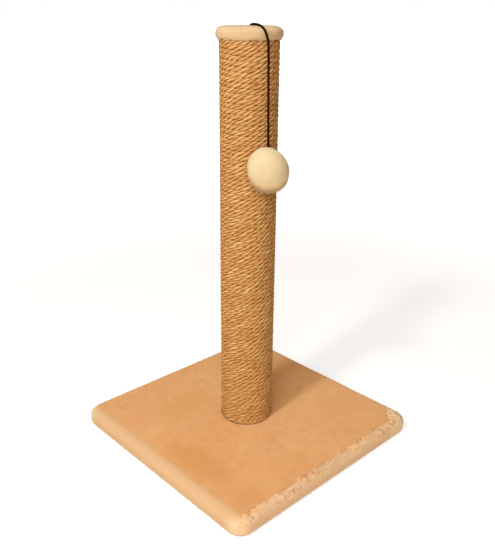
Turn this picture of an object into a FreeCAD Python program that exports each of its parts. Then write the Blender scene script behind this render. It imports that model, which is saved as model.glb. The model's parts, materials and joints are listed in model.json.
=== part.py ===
"""Cat scratching post: a plush-covered base board, a rope-wound post with a plush cap, and a ball on a cord.

Millimetres, +Z up. The origin is the middle of the base's underside, and the base's sides lie along X and Y.
Bearings are degrees anticlockwise from +X, seen from above.
"""
import FreeCAD
import Part
import Sketcher
import math
import os

Vector = FreeCAD.Vector
UP = Vector(0, 0, 1)
START, END, CENTRE = 1, 2, 3          # the points of a sketch element
FULL_TURN = 360.0
UPPER_ROPE_NODES = 4                  # nodes that the long upper length of rope is divided into
ROPE_END_PINS = (0.04, 0.1)           # staples of a rope's end, in turns from it
SAMPLE_STEP = 3.0                     # spacing of the points on which a rope's gap is measured
UNDER_FILLET_SHARE = 0.8              # most of the cap cover's underside that its rounding takes

SIZES = [
    ("board_side", "340", "side of the square base board"),
    ("board_thickness", "18", "thickness of the base board"),
    ("board_corner_radius", "15.5", "plan radius of the base board's corners"),
    ("side_pile", "5", "plush over the board's sides"),
    ("top_pile", "5", "plush over the board's top"),
    ("crushed_pile", "1.5", "plush left under the post"),
    ("edge_radius", "9", "rounding of the base cover's top edge"),
    ("foot_radius", "2.5", "rounding of the base cover's bottom edge"),
    ("hem_thickness", "3.5", "plush turned under the board"),
    ("hem_width", "36", "how far the hem reaches in from the board's side"),
    ("hem_staples_per_side", "7", "staples along each side of the hem"),
    ("tube_length", "540.5", "cardboard tube of the post"),
    ("tube_diameter", "64", "outside of the cardboard tube"),
    ("tube_wall", "3.5", "wall of the cardboard tube"),
    ("bottom_plug_length", "34", "wooden plug in the tube's foot"),
    ("top_plug_length", "26", "wooden plug in the tube's head"),
    ("rope_diameter", "5.75", "three-strand sisal rope"),
    ("rope_spacing", "0.5", "gap between two turns of rope"),
    ("rope_bedding", "0.3", "glue between the tube and the rope"),
    ("rope_end_gap", "0.2", "gap from the last turns to the base and the cap"),
    ("seat_clearance", "1.4", "round the post in the base cover's recess"),
    ("splice_height", "97", "height at which one length of rope ends and the next begins"),
    ("splice_bearing", "-73", "bearing of that joint"),
    ("cap_diameter", "83.2", "outside of the cap's plush"),
    ("cap_top_pile", "5.4", "plush over the cap's disc"),
    ("cap_side_pile", "4.1", "plush round the cap's disc"),
    ("cap_hem", "3", "plush turned under the cap's disc"),
    ("cap_disc_thickness", "9.5", "wooden disc of the cap"),
    ("cap_edge_radius", "10", "rounding of the cap's top edge"),
    ("cap_under_radius", "7", "rounding of the cap's bottom edge"),
    ("cap_staple_count", "8", "staples under the cap's disc"),
    ("bolt_diameter", "8", "bolt that holds the post on the base"),
    ("bolt_length", "45", "bolt under its head"),
    ("bolt_head_width", "13", "bolt head across its flats"),
    ("bolt_head_height", "5.3", "bolt head"),
    ("washer_diameter", "24", "washer under the bolt head"),
    ("washer_thickness", "2", "washer under the bolt head"),
    ("counterbore_depth", "8", "recess of the bolt head in the base board"),
    ("insert_diameter", "12", "threaded insert in the bottom plug"),
    ("insert_length", "18", "threaded insert in the bottom plug"),
    ("hole_clearance", "0.5", "added to a bolt's diameter for its hole"),
    ("dowel_screw_diameter", "6", "double-ended screw that holds the cap"),
    ("dowel_screw_length", "28", "double-ended screw that holds the cap"),
    ("dowel_screw_in_cap", "7", "its reach into the cap's disc"),
    ("nail_diameter", "1.8", "nails that hold the plugs in the tube"),
    ("nail_length", "16", "nails that hold the plugs in the tube"),
    ("nail_count", "4", "nails in each plug"),
    ("staple_crown", "10", "width of a staple"),
    ("staple_leg", "9", "depth of a staple"),
    ("staple_wire", "0.9", "thickness of a staple's wire"),
    ("cord_diameter", "2.8", "cord of the toy"),
    ("cord_fit", "0.1", "clearance round the cord where it bends or passes a hole"),
    ("edge_bearing", "-106", "bearing at which the cord leaves the cap"),
    ("edge_drop", "10.5", "depth of that point under the cap's top"),
    ("edge_standoff", "0.9", "from the cap's plush to the cord there"),
    ("knot_width", "7", "knot of the cord under the cap's plush"),
    ("knot_height", "3.8", "knot of the cord under the cap's plush"),
    ("ball_width", "53", "ball of the toy, across the cord"),
    ("ball_height", "55", "ball of the toy, along the cord"),
    ("ball_cover", "4", "plush of the ball"),
    ("ball_rest_gap", "0.35", "from the rope to the ball that leans on it"),
    ("ball_drop", "154", "from the cap's edge down to the ball's middle"),
    ("ball_side_turn", "5", "bearing by which the ball hangs beside that point"),
    ("ball_knot_depth", "9", "from the ball's surface down to its knot"),
    ("ball_knot_diameter", "7", "knot of the cord inside the ball"),
]

# The cord's route from the middle of the cap to its edge: radius, bearing from the edge point's, and
# height over the cap's top.
CORD_ROUTE = [(0, 0, 2.9), (9.5, -9, 3.6), (19.5, -7.5, 3.0), (28.5, -6.5, 2.3), (35.0, -6, 2.0),
              (40.0, -4, -0.7), (43.4, -1.5, -5.4)]

doc = FreeCAD.newDocument("cat_scratching_post")
sheet = doc.addObject("Spreadsheet::Sheet", "Sizes")
for row, (alias, value, meaning) in enumerate(SIZES, start=1):
    sheet.set(f"A{row}", meaning)
    sheet.set(f"B{row}", value)
    sheet.setAlias(f"B{row}", alias)
doc.recompute()


def size(formula):
    """The value in millimetres or degrees of a formula of the sheet's names."""
    return float(sheet.evalExpression(formula))


# Heights and radii that several pieces share, as formulas of the sheet's names.
BOARD_BOTTOM = "Sizes.hem_thickness"
BOARD_TOP = f"({BOARD_BOTTOM} + Sizes.board_thickness)"
BASE_TOP = f"({BOARD_TOP} + Sizes.top_pile)"
POST_FOOT = f"({BOARD_TOP} + Sizes.crushed_pile)"
POST_HEAD = f"({POST_FOOT} + Sizes.tube_length)"
CAP_BOTTOM = f"({POST_HEAD} - Sizes.cap_hem)"
DISC_TOP = f"({POST_HEAD} + Sizes.cap_disc_thickness)"
CAP_TOP = f"({DISC_TOP} + Sizes.cap_top_pile)"
BASE_SIDE = "(Sizes.board_side + 2 * Sizes.side_pile)"
TUBE_BORE = "(Sizes.tube_diameter - 2 * Sizes.tube_wall)"
ROPE_AXIS_RADIUS = "(Sizes.tube_diameter / 2 + Sizes.rope_bedding + Sizes.rope_diameter / 2)"
ROPE_OUTER_RADIUS = f"({ROPE_AXIS_RADIUS} + Sizes.rope_diameter / 2)"
BOLT_HOLE = "(Sizes.bolt_diameter + Sizes.hole_clearance)"
CORD_HOLE = "(Sizes.cord_diameter + 2 * Sizes.cord_fit)"
HEAD_TOP = f"({BOARD_BOTTOM} + Sizes.counterbore_depth - Sizes.washer_thickness)"


# ---------------------------------------------------------------- bodies made from sketches

def new_body(label, height="0"):
    """A body whose own base plane stands at a height."""
    body = doc.addObject("PartDesign::Body", label)
    body.Label = label
    body.setExpression("Placement.Base.z", height)
    return body


def new_sketch(body, height="0"):
    """An empty sketch on the body's XY plane, or on a plane above it."""
    sketch = body.newObject("Sketcher::SketchObject", f"{body.Name}_sketch")
    base_plane = next(item for item in body.Origin.OriginFeatures if item.Role == "XY_Plane")
    sketch.AttachmentSupport = [(base_plane, "")]
    sketch.MapMode = "FlatFace"
    sketch.setExpression("AttachmentOffset.Base.z", height)
    return sketch


def name_size(sketch, constraint, name, formula):
    """Add a size to a sketch, and bind it to the sheet."""
    index = sketch.addConstraint(constraint)
    sketch.renameConstraint(index, name)
    sketch.setExpression(f"Constraints.{name}", formula)


def draw_circles(sketch, diameters):
    """Circles about the sketch's origin."""
    for number, diameter in enumerate(diameters):
        circle = Part.Circle(Vector(), UP, size(diameter) / 2)
        index = sketch.addGeometry(circle, False)
        sketch.addConstraint(Sketcher.Constraint("Coincident", index, CENTRE, -1, START))
        drawn = Sketcher.Constraint("Diameter", index, size(diameter))
        name_size(sketch, drawn, f"diameter_{number}", diameter)


def draw_rounded_square(sketch, side, radius):
    """A square with round corners about the sketch's origin."""
    half, round_radius = size(side) / 2, size(radius)
    straight = half - round_radius
    lines, arcs = [], []
    for quarter in range(4):
        turn = FreeCAD.Rotation(UP, 90 * quarter)
        ends = [turn.multVec(Vector(x, -half, 0)) for x in (-straight, straight)]
        lines.append(sketch.addGeometry(Part.LineSegment(*ends), False))
        middle = turn.multVec(Vector(straight, -straight, 0))
        first = math.radians(90 * quarter - 90)
        circle = Part.Circle(middle, UP, round_radius)
        arcs.append(sketch.addGeometry(Part.ArcOfCircle(circle, first, first + math.pi / 2), False))
    for quarter in range(4):
        following = lines[(quarter + 1) % 4]
        direction = "Horizontal" if quarter % 2 == 0 else "Vertical"
        sketch.addConstraint(Sketcher.Constraint("Tangent", lines[quarter], END, arcs[quarter], START))
        sketch.addConstraint(Sketcher.Constraint("Tangent", arcs[quarter], END, following, START))
        sketch.addConstraint(Sketcher.Constraint(direction, lines[quarter]))
    for quarter in range(1, 4):
        sketch.addConstraint(Sketcher.Constraint("Equal", arcs[0], arcs[quarter]))
    sketch.addConstraint(Sketcher.Constraint("Symmetric", arcs[0], CENTRE, arcs[2], CENTRE, -1, START))
    across = Sketcher.Constraint("DistanceX", lines[3], START, lines[1], START, 2 * half)
    name_size(sketch, across, "side_x", side)
    along = Sketcher.Constraint("DistanceY", lines[0], START, lines[2], START, 2 * half)
    name_size(sketch, along, "side_y", side)
    name_size(sketch, Sketcher.Constraint("Radius", arcs[0], round_radius), "corner", radius)


def pad(body, sketch, length):
    """Raise a sketch into a solid."""
    feature = body.newObject("PartDesign::Pad", f"{body.Name}_pad")
    feature.Profile = sketch
    feature.setExpression("Length", length)
    doc.recompute()
    return feature


def pocket(body, sketch, depth, upwards=False):
    """Cut a sketch out of the body, downwards unless told otherwise."""
    before = body.Shape.Volume
    feature = body.newObject("PartDesign::Pocket", f"{body.Name}_pocket")
    feature.Profile = sketch
    feature.Reversed = upwards
    feature.setExpression("Length", depth)
    doc.recompute()
    if body.Shape.Volume >= before:
        raise RuntimeError(f"a pocket of {body.Label} cuts nothing")
    return feature


def round_pocket(body, diameter, height, depth, upwards=False):
    """Cut a round hole about the body's axis."""
    sketch = new_sketch(body, height)
    draw_circles(sketch, [diameter])
    return pocket(body, sketch, depth, upwards)


def fillet_at_height(body, height, reach, radius):
    """Round the outer edges that lie at one height, at least a given reach from the axis."""
    base = body.Tip
    names = []
    for number, edge in enumerate(base.Shape.Edges, start=1):
        box = edge.BoundBox
        level = abs(box.ZMin - height) < 1e-4 and abs(box.ZMax - height) < 1e-4
        outer = max(box.XMax, -box.XMin, box.YMax, -box.YMin) > reach
        if level and outer:
            names.append(f"Edge{number}")
    feature = body.newObject("PartDesign::Fillet", f"{body.Name}_fillet")
    feature.Base = (base, names)
    feature.setExpression("Radius", radius)
    doc.recompute()
    return feature


def round_piece(label, diameters, length, height):
    """A disc, or a ring where an inner diameter is given too."""
    body = new_body(label, height)
    sketch = new_sketch(body)
    draw_circles(sketch, diameters)
    pad(body, sketch, length)
    return body


# ---------------------------------------------------------------- groups of small fasteners

def group(label, solids):
    """Identical pieces as one node of separate solids."""
    feature = doc.addObject("Part::Feature", label)
    feature.Label = label
    feature.Shape = Part.makeCompound(solids)
    return feature


def staple():
    """One staple: its crown lies along X with its outer face at z = 0, and its legs point up."""
    crown, leg, wire = size("Sizes.staple_crown"), size("Sizes.staple_leg"), size("Sizes.staple_wire")
    corners = [(-crown / 2, 0), (crown / 2, 0), (crown / 2, leg), (crown / 2 - wire, leg),
               (crown / 2 - wire, wire), (wire - crown / 2, wire), (wire - crown / 2, leg),
               (-crown / 2, leg)]
    points = [Vector(x, -wire / 2, z) for x, z in corners]
    outline = Part.makePolygon(points + points[:1])
    return Part.Face(outline).extrude(Vector(0, wire, 0))


def nail():
    """One nail along +X with the outer face of its head at x = 0, driven towards -X."""
    radius, length = size("Sizes.nail_diameter") / 2, size("Sizes.nail_length")
    head_height, head_radius = radius, 2.4 * radius
    inwards = Vector(-1, 0, 0)
    head = Part.makeCylinder(head_radius, head_height, Vector(), inwards)
    shank = Part.makeCylinder(radius, length - 2 * radius, Vector(), inwards)
    point = Part.makeCone(radius, 0.1 * radius, 2 * radius, Vector(2 * radius - length, 0, 0), inwards)
    return head.fuse([shank, point]).removeSplitter()


def turned(shape, bearing, place=Vector()):
    """A copy of a shape, moved to a place and then turned about the vertical axis."""
    copy = shape.copy()
    copy.translate(place)
    copy.rotate(Vector(), UP, bearing)
    return copy


# ---------------------------------------------------------------- rope and cord

def arc_middle(start, direction, end):
    """The middle point of the arc that leaves start along a direction and reaches end."""
    chord = end - start
    along = chord / chord.Length
    sideways = direction - along * direction.dot(along)
    if sideways.Length < 1e-9:
        return None
    half_turn = direction.getAngle(chord)
    return (start + end) / 2 + sideways.normalize() * (chord.Length / 2 * math.tan(half_turn / 2))


def biarc(start, start_direction, end, end_direction):
    """Two tangent arcs between two points with given directions."""
    span, both = end - start, start_direction + end_direction
    spread = 2 * (1 - start_direction.dot(end_direction))
    reach = (math.sqrt(span.dot(both) ** 2 + spread * span.dot(span)) - span.dot(both)) / spread
    middle = (start + end + (start_direction - end_direction) * reach) / 2
    first = Part.Arc(start, arc_middle(start, start_direction, middle), middle)
    second = Part.Arc(middle, arc_middle(end, end_direction * -1, middle), end)
    return [first.toShape(), second.toShape()]


def winding_station(turns):
    """Place and direction of the rope's centre line, some turns above the joint of the two lengths."""
    radius = size(ROPE_AXIS_RADIUS)
    pitch = size("Sizes.rope_diameter + Sizes.rope_spacing")
    angle = math.radians(size("Sizes.splice_bearing") - FULL_TURN * turns)
    place = Vector(radius * math.cos(angle), radius * math.sin(angle),
                   size("Sizes.splice_height") + pitch * turns)
    rise = pitch / (2 * math.pi * radius)
    direction = Vector(math.sin(angle), -math.cos(angle), rise).normalize()
    return place, direction


def winding_path(first_turn, last_turn):
    """The centre line of one stretch of rope, as edges: straight ends, and half turns between them."""
    straight = size("Sizes.rope_diameter")
    low_end, low_direction = winding_station(first_turn)
    high_end, high_direction = winding_station(last_turn)
    low, high = low_end + low_direction * straight, high_end - high_direction * straight
    easing = 1 / 8                              # of a turn, from each straight end into the round
    halves = max(1, round((last_turn - first_turn - 2 * easing) * 2))
    step = (last_turn - first_turn - 2 * easing) / halves
    stations = [(low, low_direction)]
    stations += [winding_station(first_turn + easing + step * number) for number in range(halves + 1)]
    stations += [(high, high_direction)]
    edges = [Part.makeLine(low_end, low)]
    for here, there in zip(stations, stations[1:]):
        edges += biarc(*here, *there)
    return edges + [Part.makeLine(high, high_end)]


def tube_along(edges, diameter):
    """A round solid along tangent edges, compared with its section times its length."""
    path = Part.Wire(edges)
    start = edges[0].Vertexes[0].Point
    section = Part.Wire(Part.makeCircle(diameter / 2, start, edges[0].tangentAt(edges[0].FirstParameter)))
    solid = path.makePipeShell([section], True, False)
    share = solid.Volume / (math.pi * diameter ** 2 / 4 * path.Length)
    return solid, share


def least_gap(edges, diameter, turn_length):
    """The least distance between the surfaces of one turn and the next, measured on points."""
    points = []
    for edge in edges:
        points += edge.discretize(max(2, math.ceil(edge.Length / SAMPLE_STEP) + 1))[:-1]
    near, far = int(0.5 * turn_length / SAMPLE_STEP), int(1.6 * turn_length / SAMPLE_STEP)
    gaps = [(point - other).Length for index, point in enumerate(points)
            for other in points[index + near:index + far]]
    return min(gaps) - diameter


def corner_route(points, radii_label):
    """Straight runs joined by tangent arcs through a route's points; the radii are printed."""
    edges, radii = [], []
    leave = points[0]
    for before, corner, after in zip(points, points[1:], points[2:]):
        incoming, outgoing = (corner - before).normalize(), (after - corner).normalize()
        turn = incoming.getAngle(outgoing)
        setback = 0.45 * min((corner - before).Length, (after - corner).Length)
        radii.append(setback / math.tan(turn / 2))
        arc_start, arc_end = corner - incoming * setback, corner + outgoing * setback
        edges.append(Part.makeLine(leave, arc_start))
        edges.append(Part.Arc(arc_start, arc_middle(arc_start, incoming, arc_end), arc_end).toShape())
        leave = arc_end
    edges.append(Part.makeLine(leave, points[-1]))
    print(radii_label, "radii", [round(radius, 1) for radius in radii])
    return edges


def polar(radius, bearing, height):
    """A point by its radius and bearing about the post's axis."""
    angle = math.radians(bearing)
    return Vector(radius * math.cos(angle), radius * math.sin(angle), height)


# ---------------------------------------------------------------- the base

def make_base():
    """Board, plush cover with its turned-under hem, and the staples of the hem."""
    board = new_body("base_board", BOARD_BOTTOM)
    outline = new_sketch(board)
    draw_rounded_square(outline, "Sizes.board_side", "Sizes.board_corner_radius")
    pad(board, outline, "Sizes.board_thickness")
    round_pocket(board, "Sizes.washer_diameter + 4 * Sizes.hole_clearance", "0",
                 "Sizes.counterbore_depth", upwards=True)
    round_pocket(board, BOLT_HOLE, "Sizes.board_thickness", "Sizes.board_thickness")

    cover = new_body("base_cover")
    outline = new_sketch(cover)
    draw_rounded_square(outline, BASE_SIDE, "Sizes.board_corner_radius + Sizes.side_pile")
    pad(cover, outline, BASE_TOP)
    space = new_sketch(cover, BOARD_BOTTOM)
    draw_rounded_square(space, "Sizes.board_side", "Sizes.board_corner_radius")
    pocket(cover, space, "Sizes.board_thickness", upwards=True)
    opening = new_sketch(cover)
    draw_rounded_square(opening, "Sizes.board_side - 2 * Sizes.hem_width", "Sizes.board_corner_radius")
    pocket(cover, opening, "Sizes.hem_thickness", upwards=True)
    seat = f"2 * {ROPE_OUTER_RADIUS} + 2 * Sizes.seat_clearance"
    round_pocket(cover, seat, BASE_TOP, "Sizes.top_pile - Sizes.crushed_pile")
    round_pocket(cover, BOLT_HOLE, BASE_TOP, "Sizes.top_pile")
    reach = size("Sizes.board_side") / 2
    fillet_at_height(cover, size(BASE_TOP), reach, "Sizes.edge_radius")
    fillet_at_height(cover, 0.0, reach, "Sizes.foot_radius")

    count = int(size("Sizes.hem_staples_per_side"))
    inset = size("Sizes.board_side / 2 - Sizes.hem_width / 2")
    spacing = 2 * inset / (count + 1)
    sunk = size("Sizes.staple_wire")
    row = [Vector((number - (count - 1) / 2) * spacing, inset, sunk) for number in range(count)]
    group("base_staples", [turned(staple(), bearing, place) for bearing in (0, 90, 180, 270)
                           for place in row])


# ---------------------------------------------------------------- the post and its fastening

def make_post_bolt():
    """Hexagon bolt up through the base board, its washer, and the insert in the plug that it screws into."""
    round_piece("base_washer", ["Sizes.washer_diameter", BOLT_HOLE], "Sizes.washer_thickness", HEAD_TOP)
    round_piece("threaded_insert", ["Sizes.insert_diameter", "Sizes.bolt_diameter"],
                "Sizes.insert_length", POST_FOOT)
    head = doc.addObject("Part::Prism", "bolt_head")
    head.Polygon = 6
    head.setExpression("Circumradius", "Sizes.bolt_head_width / (2 * cos(30))")
    head.setExpression("Height", "Sizes.bolt_head_height")
    head.setExpression("Placement.Base.z", f"{HEAD_TOP} - Sizes.bolt_head_height")
    shank = doc.addObject("Part::Cylinder", "bolt_shank")
    shank.setExpression("Radius", "Sizes.bolt_diameter / 2")
    shank.setExpression("Height", "Sizes.bolt_length")
    shank.setExpression("Placement.Base.z", HEAD_TOP)
    bolt = doc.addObject("Part::Fuse", "base_bolt")
    bolt.Label = "base_bolt"
    bolt.Base, bolt.Tool = head, shank


def make_post():
    """Cardboard tube with a wooden plug nailed in each end."""
    round_piece("post_tube", ["Sizes.tube_diameter", TUBE_BORE], "Sizes.tube_length", POST_FOOT)
    bottom = round_piece("bottom_plug", [TUBE_BORE, BOLT_HOLE], "Sizes.bottom_plug_length", POST_FOOT)
    round_pocket(bottom, "Sizes.insert_diameter", "0", "Sizes.insert_length", upwards=True)
    top = round_piece("top_plug", [TUBE_BORE], "Sizes.top_plug_length",
                      f"{POST_HEAD} - Sizes.top_plug_length")
    round_pocket(top, "Sizes.dowel_screw_diameter", "Sizes.top_plug_length",
                 "Sizes.dowel_screw_length - Sizes.dowel_screw_in_cap")

    count = int(size("Sizes.nail_count"))
    at_surface = size("Sizes.tube_diameter") / 2
    heights = {"bottom_plug_nails": f"{POST_FOOT} + Sizes.bottom_plug_length * 0.75",
               "top_plug_nails": f"{POST_HEAD} - Sizes.top_plug_length / 2"}
    for label, height in heights.items():
        place = Vector(at_surface, 0, size(height))
        group(label, [turned(nail(), FULL_TURN * number / count, place) for number in range(count)])


def make_rope():
    """Two lengths of rope wound up the tube; the upper one is divided into nodes of few loops."""
    diameter = size("Sizes.rope_diameter")
    pitch = size("Sizes.rope_diameter + Sizes.rope_spacing")
    lowest = size(f"{POST_FOOT} + Sizes.rope_end_gap + Sizes.rope_diameter / 2")
    highest = size(f"{CAP_BOTTOM} - Sizes.rope_end_gap - Sizes.rope_diameter / 2")
    splice = size("Sizes.splice_height")
    below, above = (splice - lowest) / pitch, (highest - splice) / pitch
    stretches = {"rope_lower_length": (-below, 0.0)}
    for number in range(UPPER_ROPE_NODES):
        stretches[f"rope_upper_length_{number + 1}"] = (above * number / UPPER_ROPE_NODES,
                                                        above * (number + 1) / UPPER_ROPE_NODES)
    turn_length = 2 * math.pi * size(ROPE_AXIS_RADIUS)
    for label, (first_turn, last_turn) in stretches.items():
        edges = winding_path(first_turn, last_turn)
        feature = doc.addObject("Part::Feature", label)
        feature.Label = label
        feature.Shape, share = tube_along(edges, diameter)
        print(label, "turns", round(last_turn - first_turn, 2), "volume share", round(share, 4),
              "least gap", round(least_gap(edges, diameter, turn_length), 3))

    low, high = -below, above
    pins = [turns for pin in ROPE_END_PINS for turns in (low + pin, -pin, pin, high - pin)]
    staples = []
    for turns in pins:
        place, direction = winding_station(turns)
        inwards = Vector(-place.x, -place.y, 0).normalize()
        pin = staple()
        aim = FreeCAD.Rotation(direction, Vector(), inwards, "XZY")
        pin.Placement = FreeCAD.Placement(place - inwards * (diameter / 2), aim)
        staples.append(pin)
    group("rope_staples", staples)


# ---------------------------------------------------------------- the cap

def make_cap():
    """Wooden disc, its plush cover, the double-ended screw that holds it, and the cover's staples."""
    disc_diameter = "Sizes.cap_diameter - 2 * Sizes.cap_side_pile"
    disc = round_piece("cap_disc", [disc_diameter], "Sizes.cap_disc_thickness", POST_HEAD)
    round_pocket(disc, "Sizes.dowel_screw_diameter", "0", "Sizes.dowel_screw_in_cap", upwards=True)

    cover_height = "Sizes.cap_hem + Sizes.cap_disc_thickness + Sizes.cap_top_pile"
    cover = round_piece("cap_cover", ["Sizes.cap_diameter"], cover_height, CAP_BOTTOM)
    round_pocket(cover, disc_diameter, "Sizes.cap_hem", "Sizes.cap_disc_thickness", upwards=True)
    post_hole = "(Sizes.tube_diameter + 2 * Sizes.rope_bedding)"
    round_pocket(cover, post_hole, "0", "Sizes.cap_hem", upwards=True)
    disc_level = "Sizes.cap_hem + Sizes.cap_disc_thickness"
    round_pocket(cover, "Sizes.knot_width + 2 * Sizes.cord_fit", disc_level,
                 "Sizes.knot_height + Sizes.cord_fit", upwards=True)
    round_pocket(cover, CORD_HOLE, cover_height, "Sizes.cap_top_pile")
    reach = size(disc_diameter) / 2
    fillet_at_height(cover, size(cover_height), reach, "Sizes.cap_edge_radius")
    most = f"{UNDER_FILLET_SHARE} * (Sizes.cap_diameter - {post_hole}) / 2"
    fillet_at_height(cover, 0.0, reach, f"min(Sizes.cap_under_radius; {most})")

    shank = doc.addObject("Part::Cylinder", "dowel_screw_shank")
    shank.setExpression("Radius", "Sizes.dowel_screw_diameter / 2")
    shank.setExpression("Height", "Sizes.dowel_screw_length")
    shank.setExpression("Placement.Base.z",
                        f"{POST_HEAD} + Sizes.dowel_screw_in_cap - Sizes.dowel_screw_length")
    screw = doc.addObject("Part::Chamfer", "cap_dowel_screw")
    screw.Label = "cap_dowel_screw"
    screw.Base = shank
    doc.recompute()
    tip = size("Sizes.dowel_screw_diameter") / 2.5
    screw.Edges = [(number, tip, tip) for number, edge in enumerate(shank.Shape.Edges, start=1)
                   if isinstance(edge.Curve, Part.Circle)]

    count = int(size("Sizes.cap_staple_count"))
    inside = size("Sizes.tube_diameter") / 2
    outside = math.sqrt(size(disc_diameter) ** 2 - size("Sizes.staple_crown") ** 2) / 2
    ring = (inside + outside) / 2               # both legs of a staple stay within the disc
    place = Vector(0, ring, size(CAP_BOTTOM))
    group("cap_staples", [turned(staple(), FULL_TURN * number / count, place) for number in range(count)])


# ---------------------------------------------------------------- the toy

def toy_places():
    """The point at the cap's edge from which the cord hangs, the ball's middle, and the way down to it."""
    edge_radius = size("Sizes.cap_diameter / 2 + Sizes.edge_standoff + Sizes.cord_diameter / 2")
    bearing = size("Sizes.edge_bearing")
    edge = polar(edge_radius, bearing, size(f"{CAP_TOP} - Sizes.edge_drop"))
    outwards = size(f"{ROPE_OUTER_RADIUS} + Sizes.ball_width / 2 + Sizes.ball_rest_gap")
    side_turn = size("Sizes.ball_side_turn")
    middle = polar(outwards / math.cos(math.radians(side_turn)), bearing - side_turn,
                   edge.z - size("Sizes.ball_drop"))
    return edge, middle, (middle - edge).normalize()


def make_cord():
    """The cord: knotted under the cap's plush, across the cap, round its edge and down to the ball."""
    edge, middle, down = toy_places()
    diameter, fit = size("Sizes.cord_diameter"), size("Sizes.cord_fit")
    bearing = size("Sizes.edge_bearing")
    disc_top, cap_top = size(DISC_TOP), size(CAP_TOP)

    knot = doc.addObject("Part::Ellipsoid", "cap_knot")
    knot.Label = "cap_knot"
    knot.setExpression("Radius1", "Sizes.knot_height / 2")
    knot.setExpression("Radius2", "Sizes.knot_width / 2")
    knot.setExpression("Radius3", "Sizes.knot_width / 2")
    knot.setExpression("Placement.Base.z", f"{DISC_TOP} + Sizes.knot_height / 2")

    bend = doc.addObject("Part::Sphere", "cord_bend")
    bend.Label = "cord_bend"
    bend.setExpression("Radius", "Sizes.cord_diameter / 2")
    bend.Placement.Base = edge
    socket = Part.makeSphere(diameter / 2 + fit, edge)

    route = [Vector(0, 0, disc_top + size("Sizes.knot_height"))]
    route += [polar(radius, bearing + turn, cap_top + height) for radius, turn, height in CORD_ROUTE]
    route += [edge]
    across = doc.addObject("Part::Feature", "cord_over_cap")
    across.Label = "cord_over_cap"
    solid, share = tube_along(corner_route(route, "cord_over_cap"), diameter)
    print("cord_over_cap volume share", round(share, 4))
    across.Shape = solid.cut(socket)

    surface = size("Sizes.ball_height") / 2
    reach = (middle - edge).Length - surface + size("Sizes.ball_knot_depth")
    hanging = doc.addObject("Part::Feature", "cord_hanging")
    hanging.Label = "cord_hanging"
    hanging.Shape = Part.makeCylinder(diameter / 2, reach, edge, down).cut(socket)
    print("cord_hanging length", round(reach, 1))


def make_ball():
    """The ball: plush cover, stuffing, and the knot that holds the cord inside it."""
    edge, middle, down = toy_places()
    upright = FreeCAD.Placement(middle, FreeCAD.Rotation(UP, down * -1))

    def egg(name, shrink):
        solid = doc.addObject("Part::Ellipsoid", name)
        solid.setExpression("Radius1", f"Sizes.ball_height / 2 - {shrink}")
        solid.setExpression("Radius2", f"Sizes.ball_width / 2 - {shrink}")
        solid.setExpression("Radius3", f"Sizes.ball_width / 2 - {shrink}")
        return solid

    def knot(name, spare):
        solid = doc.addObject("Part::Sphere", name)
        solid.setExpression("Radius", f"Sizes.ball_knot_diameter / 2 + {spare}")
        solid.Placement.Base = Vector(0, 0, size("Sizes.ball_height / 2 - Sizes.ball_knot_depth"
                                                 " - Sizes.ball_knot_diameter / 2"))
        return solid

    def cord_hole(name):
        hole = doc.addObject("Part::Cylinder", name)
        hole.setExpression("Radius", f"{CORD_HOLE} / 2")
        hole.setExpression("Height", "Sizes.ball_height / 2")
        hole.setExpression("Placement.Base.z", "Sizes.ball_height / 2 - Sizes.ball_knot_depth")
        return hole

    def cut(name, base, tool):
        result = doc.addObject("Part::Cut", name)
        result.Base, result.Tool = base, tool
        return result

    hollow = cut("ball_hollow", egg("ball_outside", "0"), egg("ball_inside", "Sizes.ball_cover"))
    core = cut("ball_core", egg("ball_core_outside", "Sizes.ball_cover"), cord_hole("ball_core_hole"))
    pieces = {"ball_cover": cut("ball_cover", hollow, cord_hole("ball_cover_hole")),
              "ball_stuffing": cut("ball_stuffing", core, knot("ball_knot_space", "Sizes.cord_fit")),
              "ball_knot": knot("ball_knot", "0")}
    for label, piece in pieces.items():
        piece.Label = label
        piece.Placement = upright.multiply(piece.Placement)


NODES = ["base_board", "base_cover", "base_staples", "base_bolt", "base_washer", "threaded_insert",
         "post_tube", "bottom_plug", "bottom_plug_nails", "top_plug", "top_plug_nails",
         "rope_lower_length", "rope_staples", "cap_disc", "cap_cover", "cap_dowel_screw", "cap_staples",
         "cap_knot", "cord_over_cap", "cord_bend", "cord_hanging", "ball_cover", "ball_stuffing",
         "ball_knot"]


def check_and_export():
    """Refuse a failed feature or a faulty solid, and write each sub-part to its own file."""
    doc.recompute()
    for item in doc.Objects:
        if "Invalid" in item.State or "Error" in item.State:
            raise RuntimeError(f"{item.Label} failed: {item.State}")
    upper = [item.Label for item in doc.Objects if item.Label.startswith("rope_upper_length")]
    os.makedirs("parts", exist_ok=True)
    for label in NODES + upper:
        shape = doc.getObjectsByLabel(label)[0].Shape
        if shape.isNull() or not shape.isValid() or not shape.Solids:
            raise RuntimeError(f"{label} isn't a valid solid")
        shape.exportStep(os.path.join("parts", f"{label}.step"))
        print(label, len(shape.Solids), "solids", round(shape.Volume / 1000, 3), "cm3")


make_base()
make_post_bolt()
make_post()
make_rope()
make_cap()
make_cord()
make_ball()
check_and_export()
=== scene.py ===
"""Looks of a cat scratching post: a plush-covered base, a post wound with sisal, a plush cap and a ball on a cord.

Metres, +Z up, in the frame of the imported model. The base's sides lie along X and Y, and the post stands on
the origin. Bearings are anticlockwise from +X, seen from above.
"""
import json
import logging
import math
from contextlib import contextmanager
from dataclasses import dataclass
from enum import Enum
from typing import Callable, Iterator, Sequence

import bmesh
import bpy
import numpy as np
from mathutils import Matrix, Vector


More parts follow.
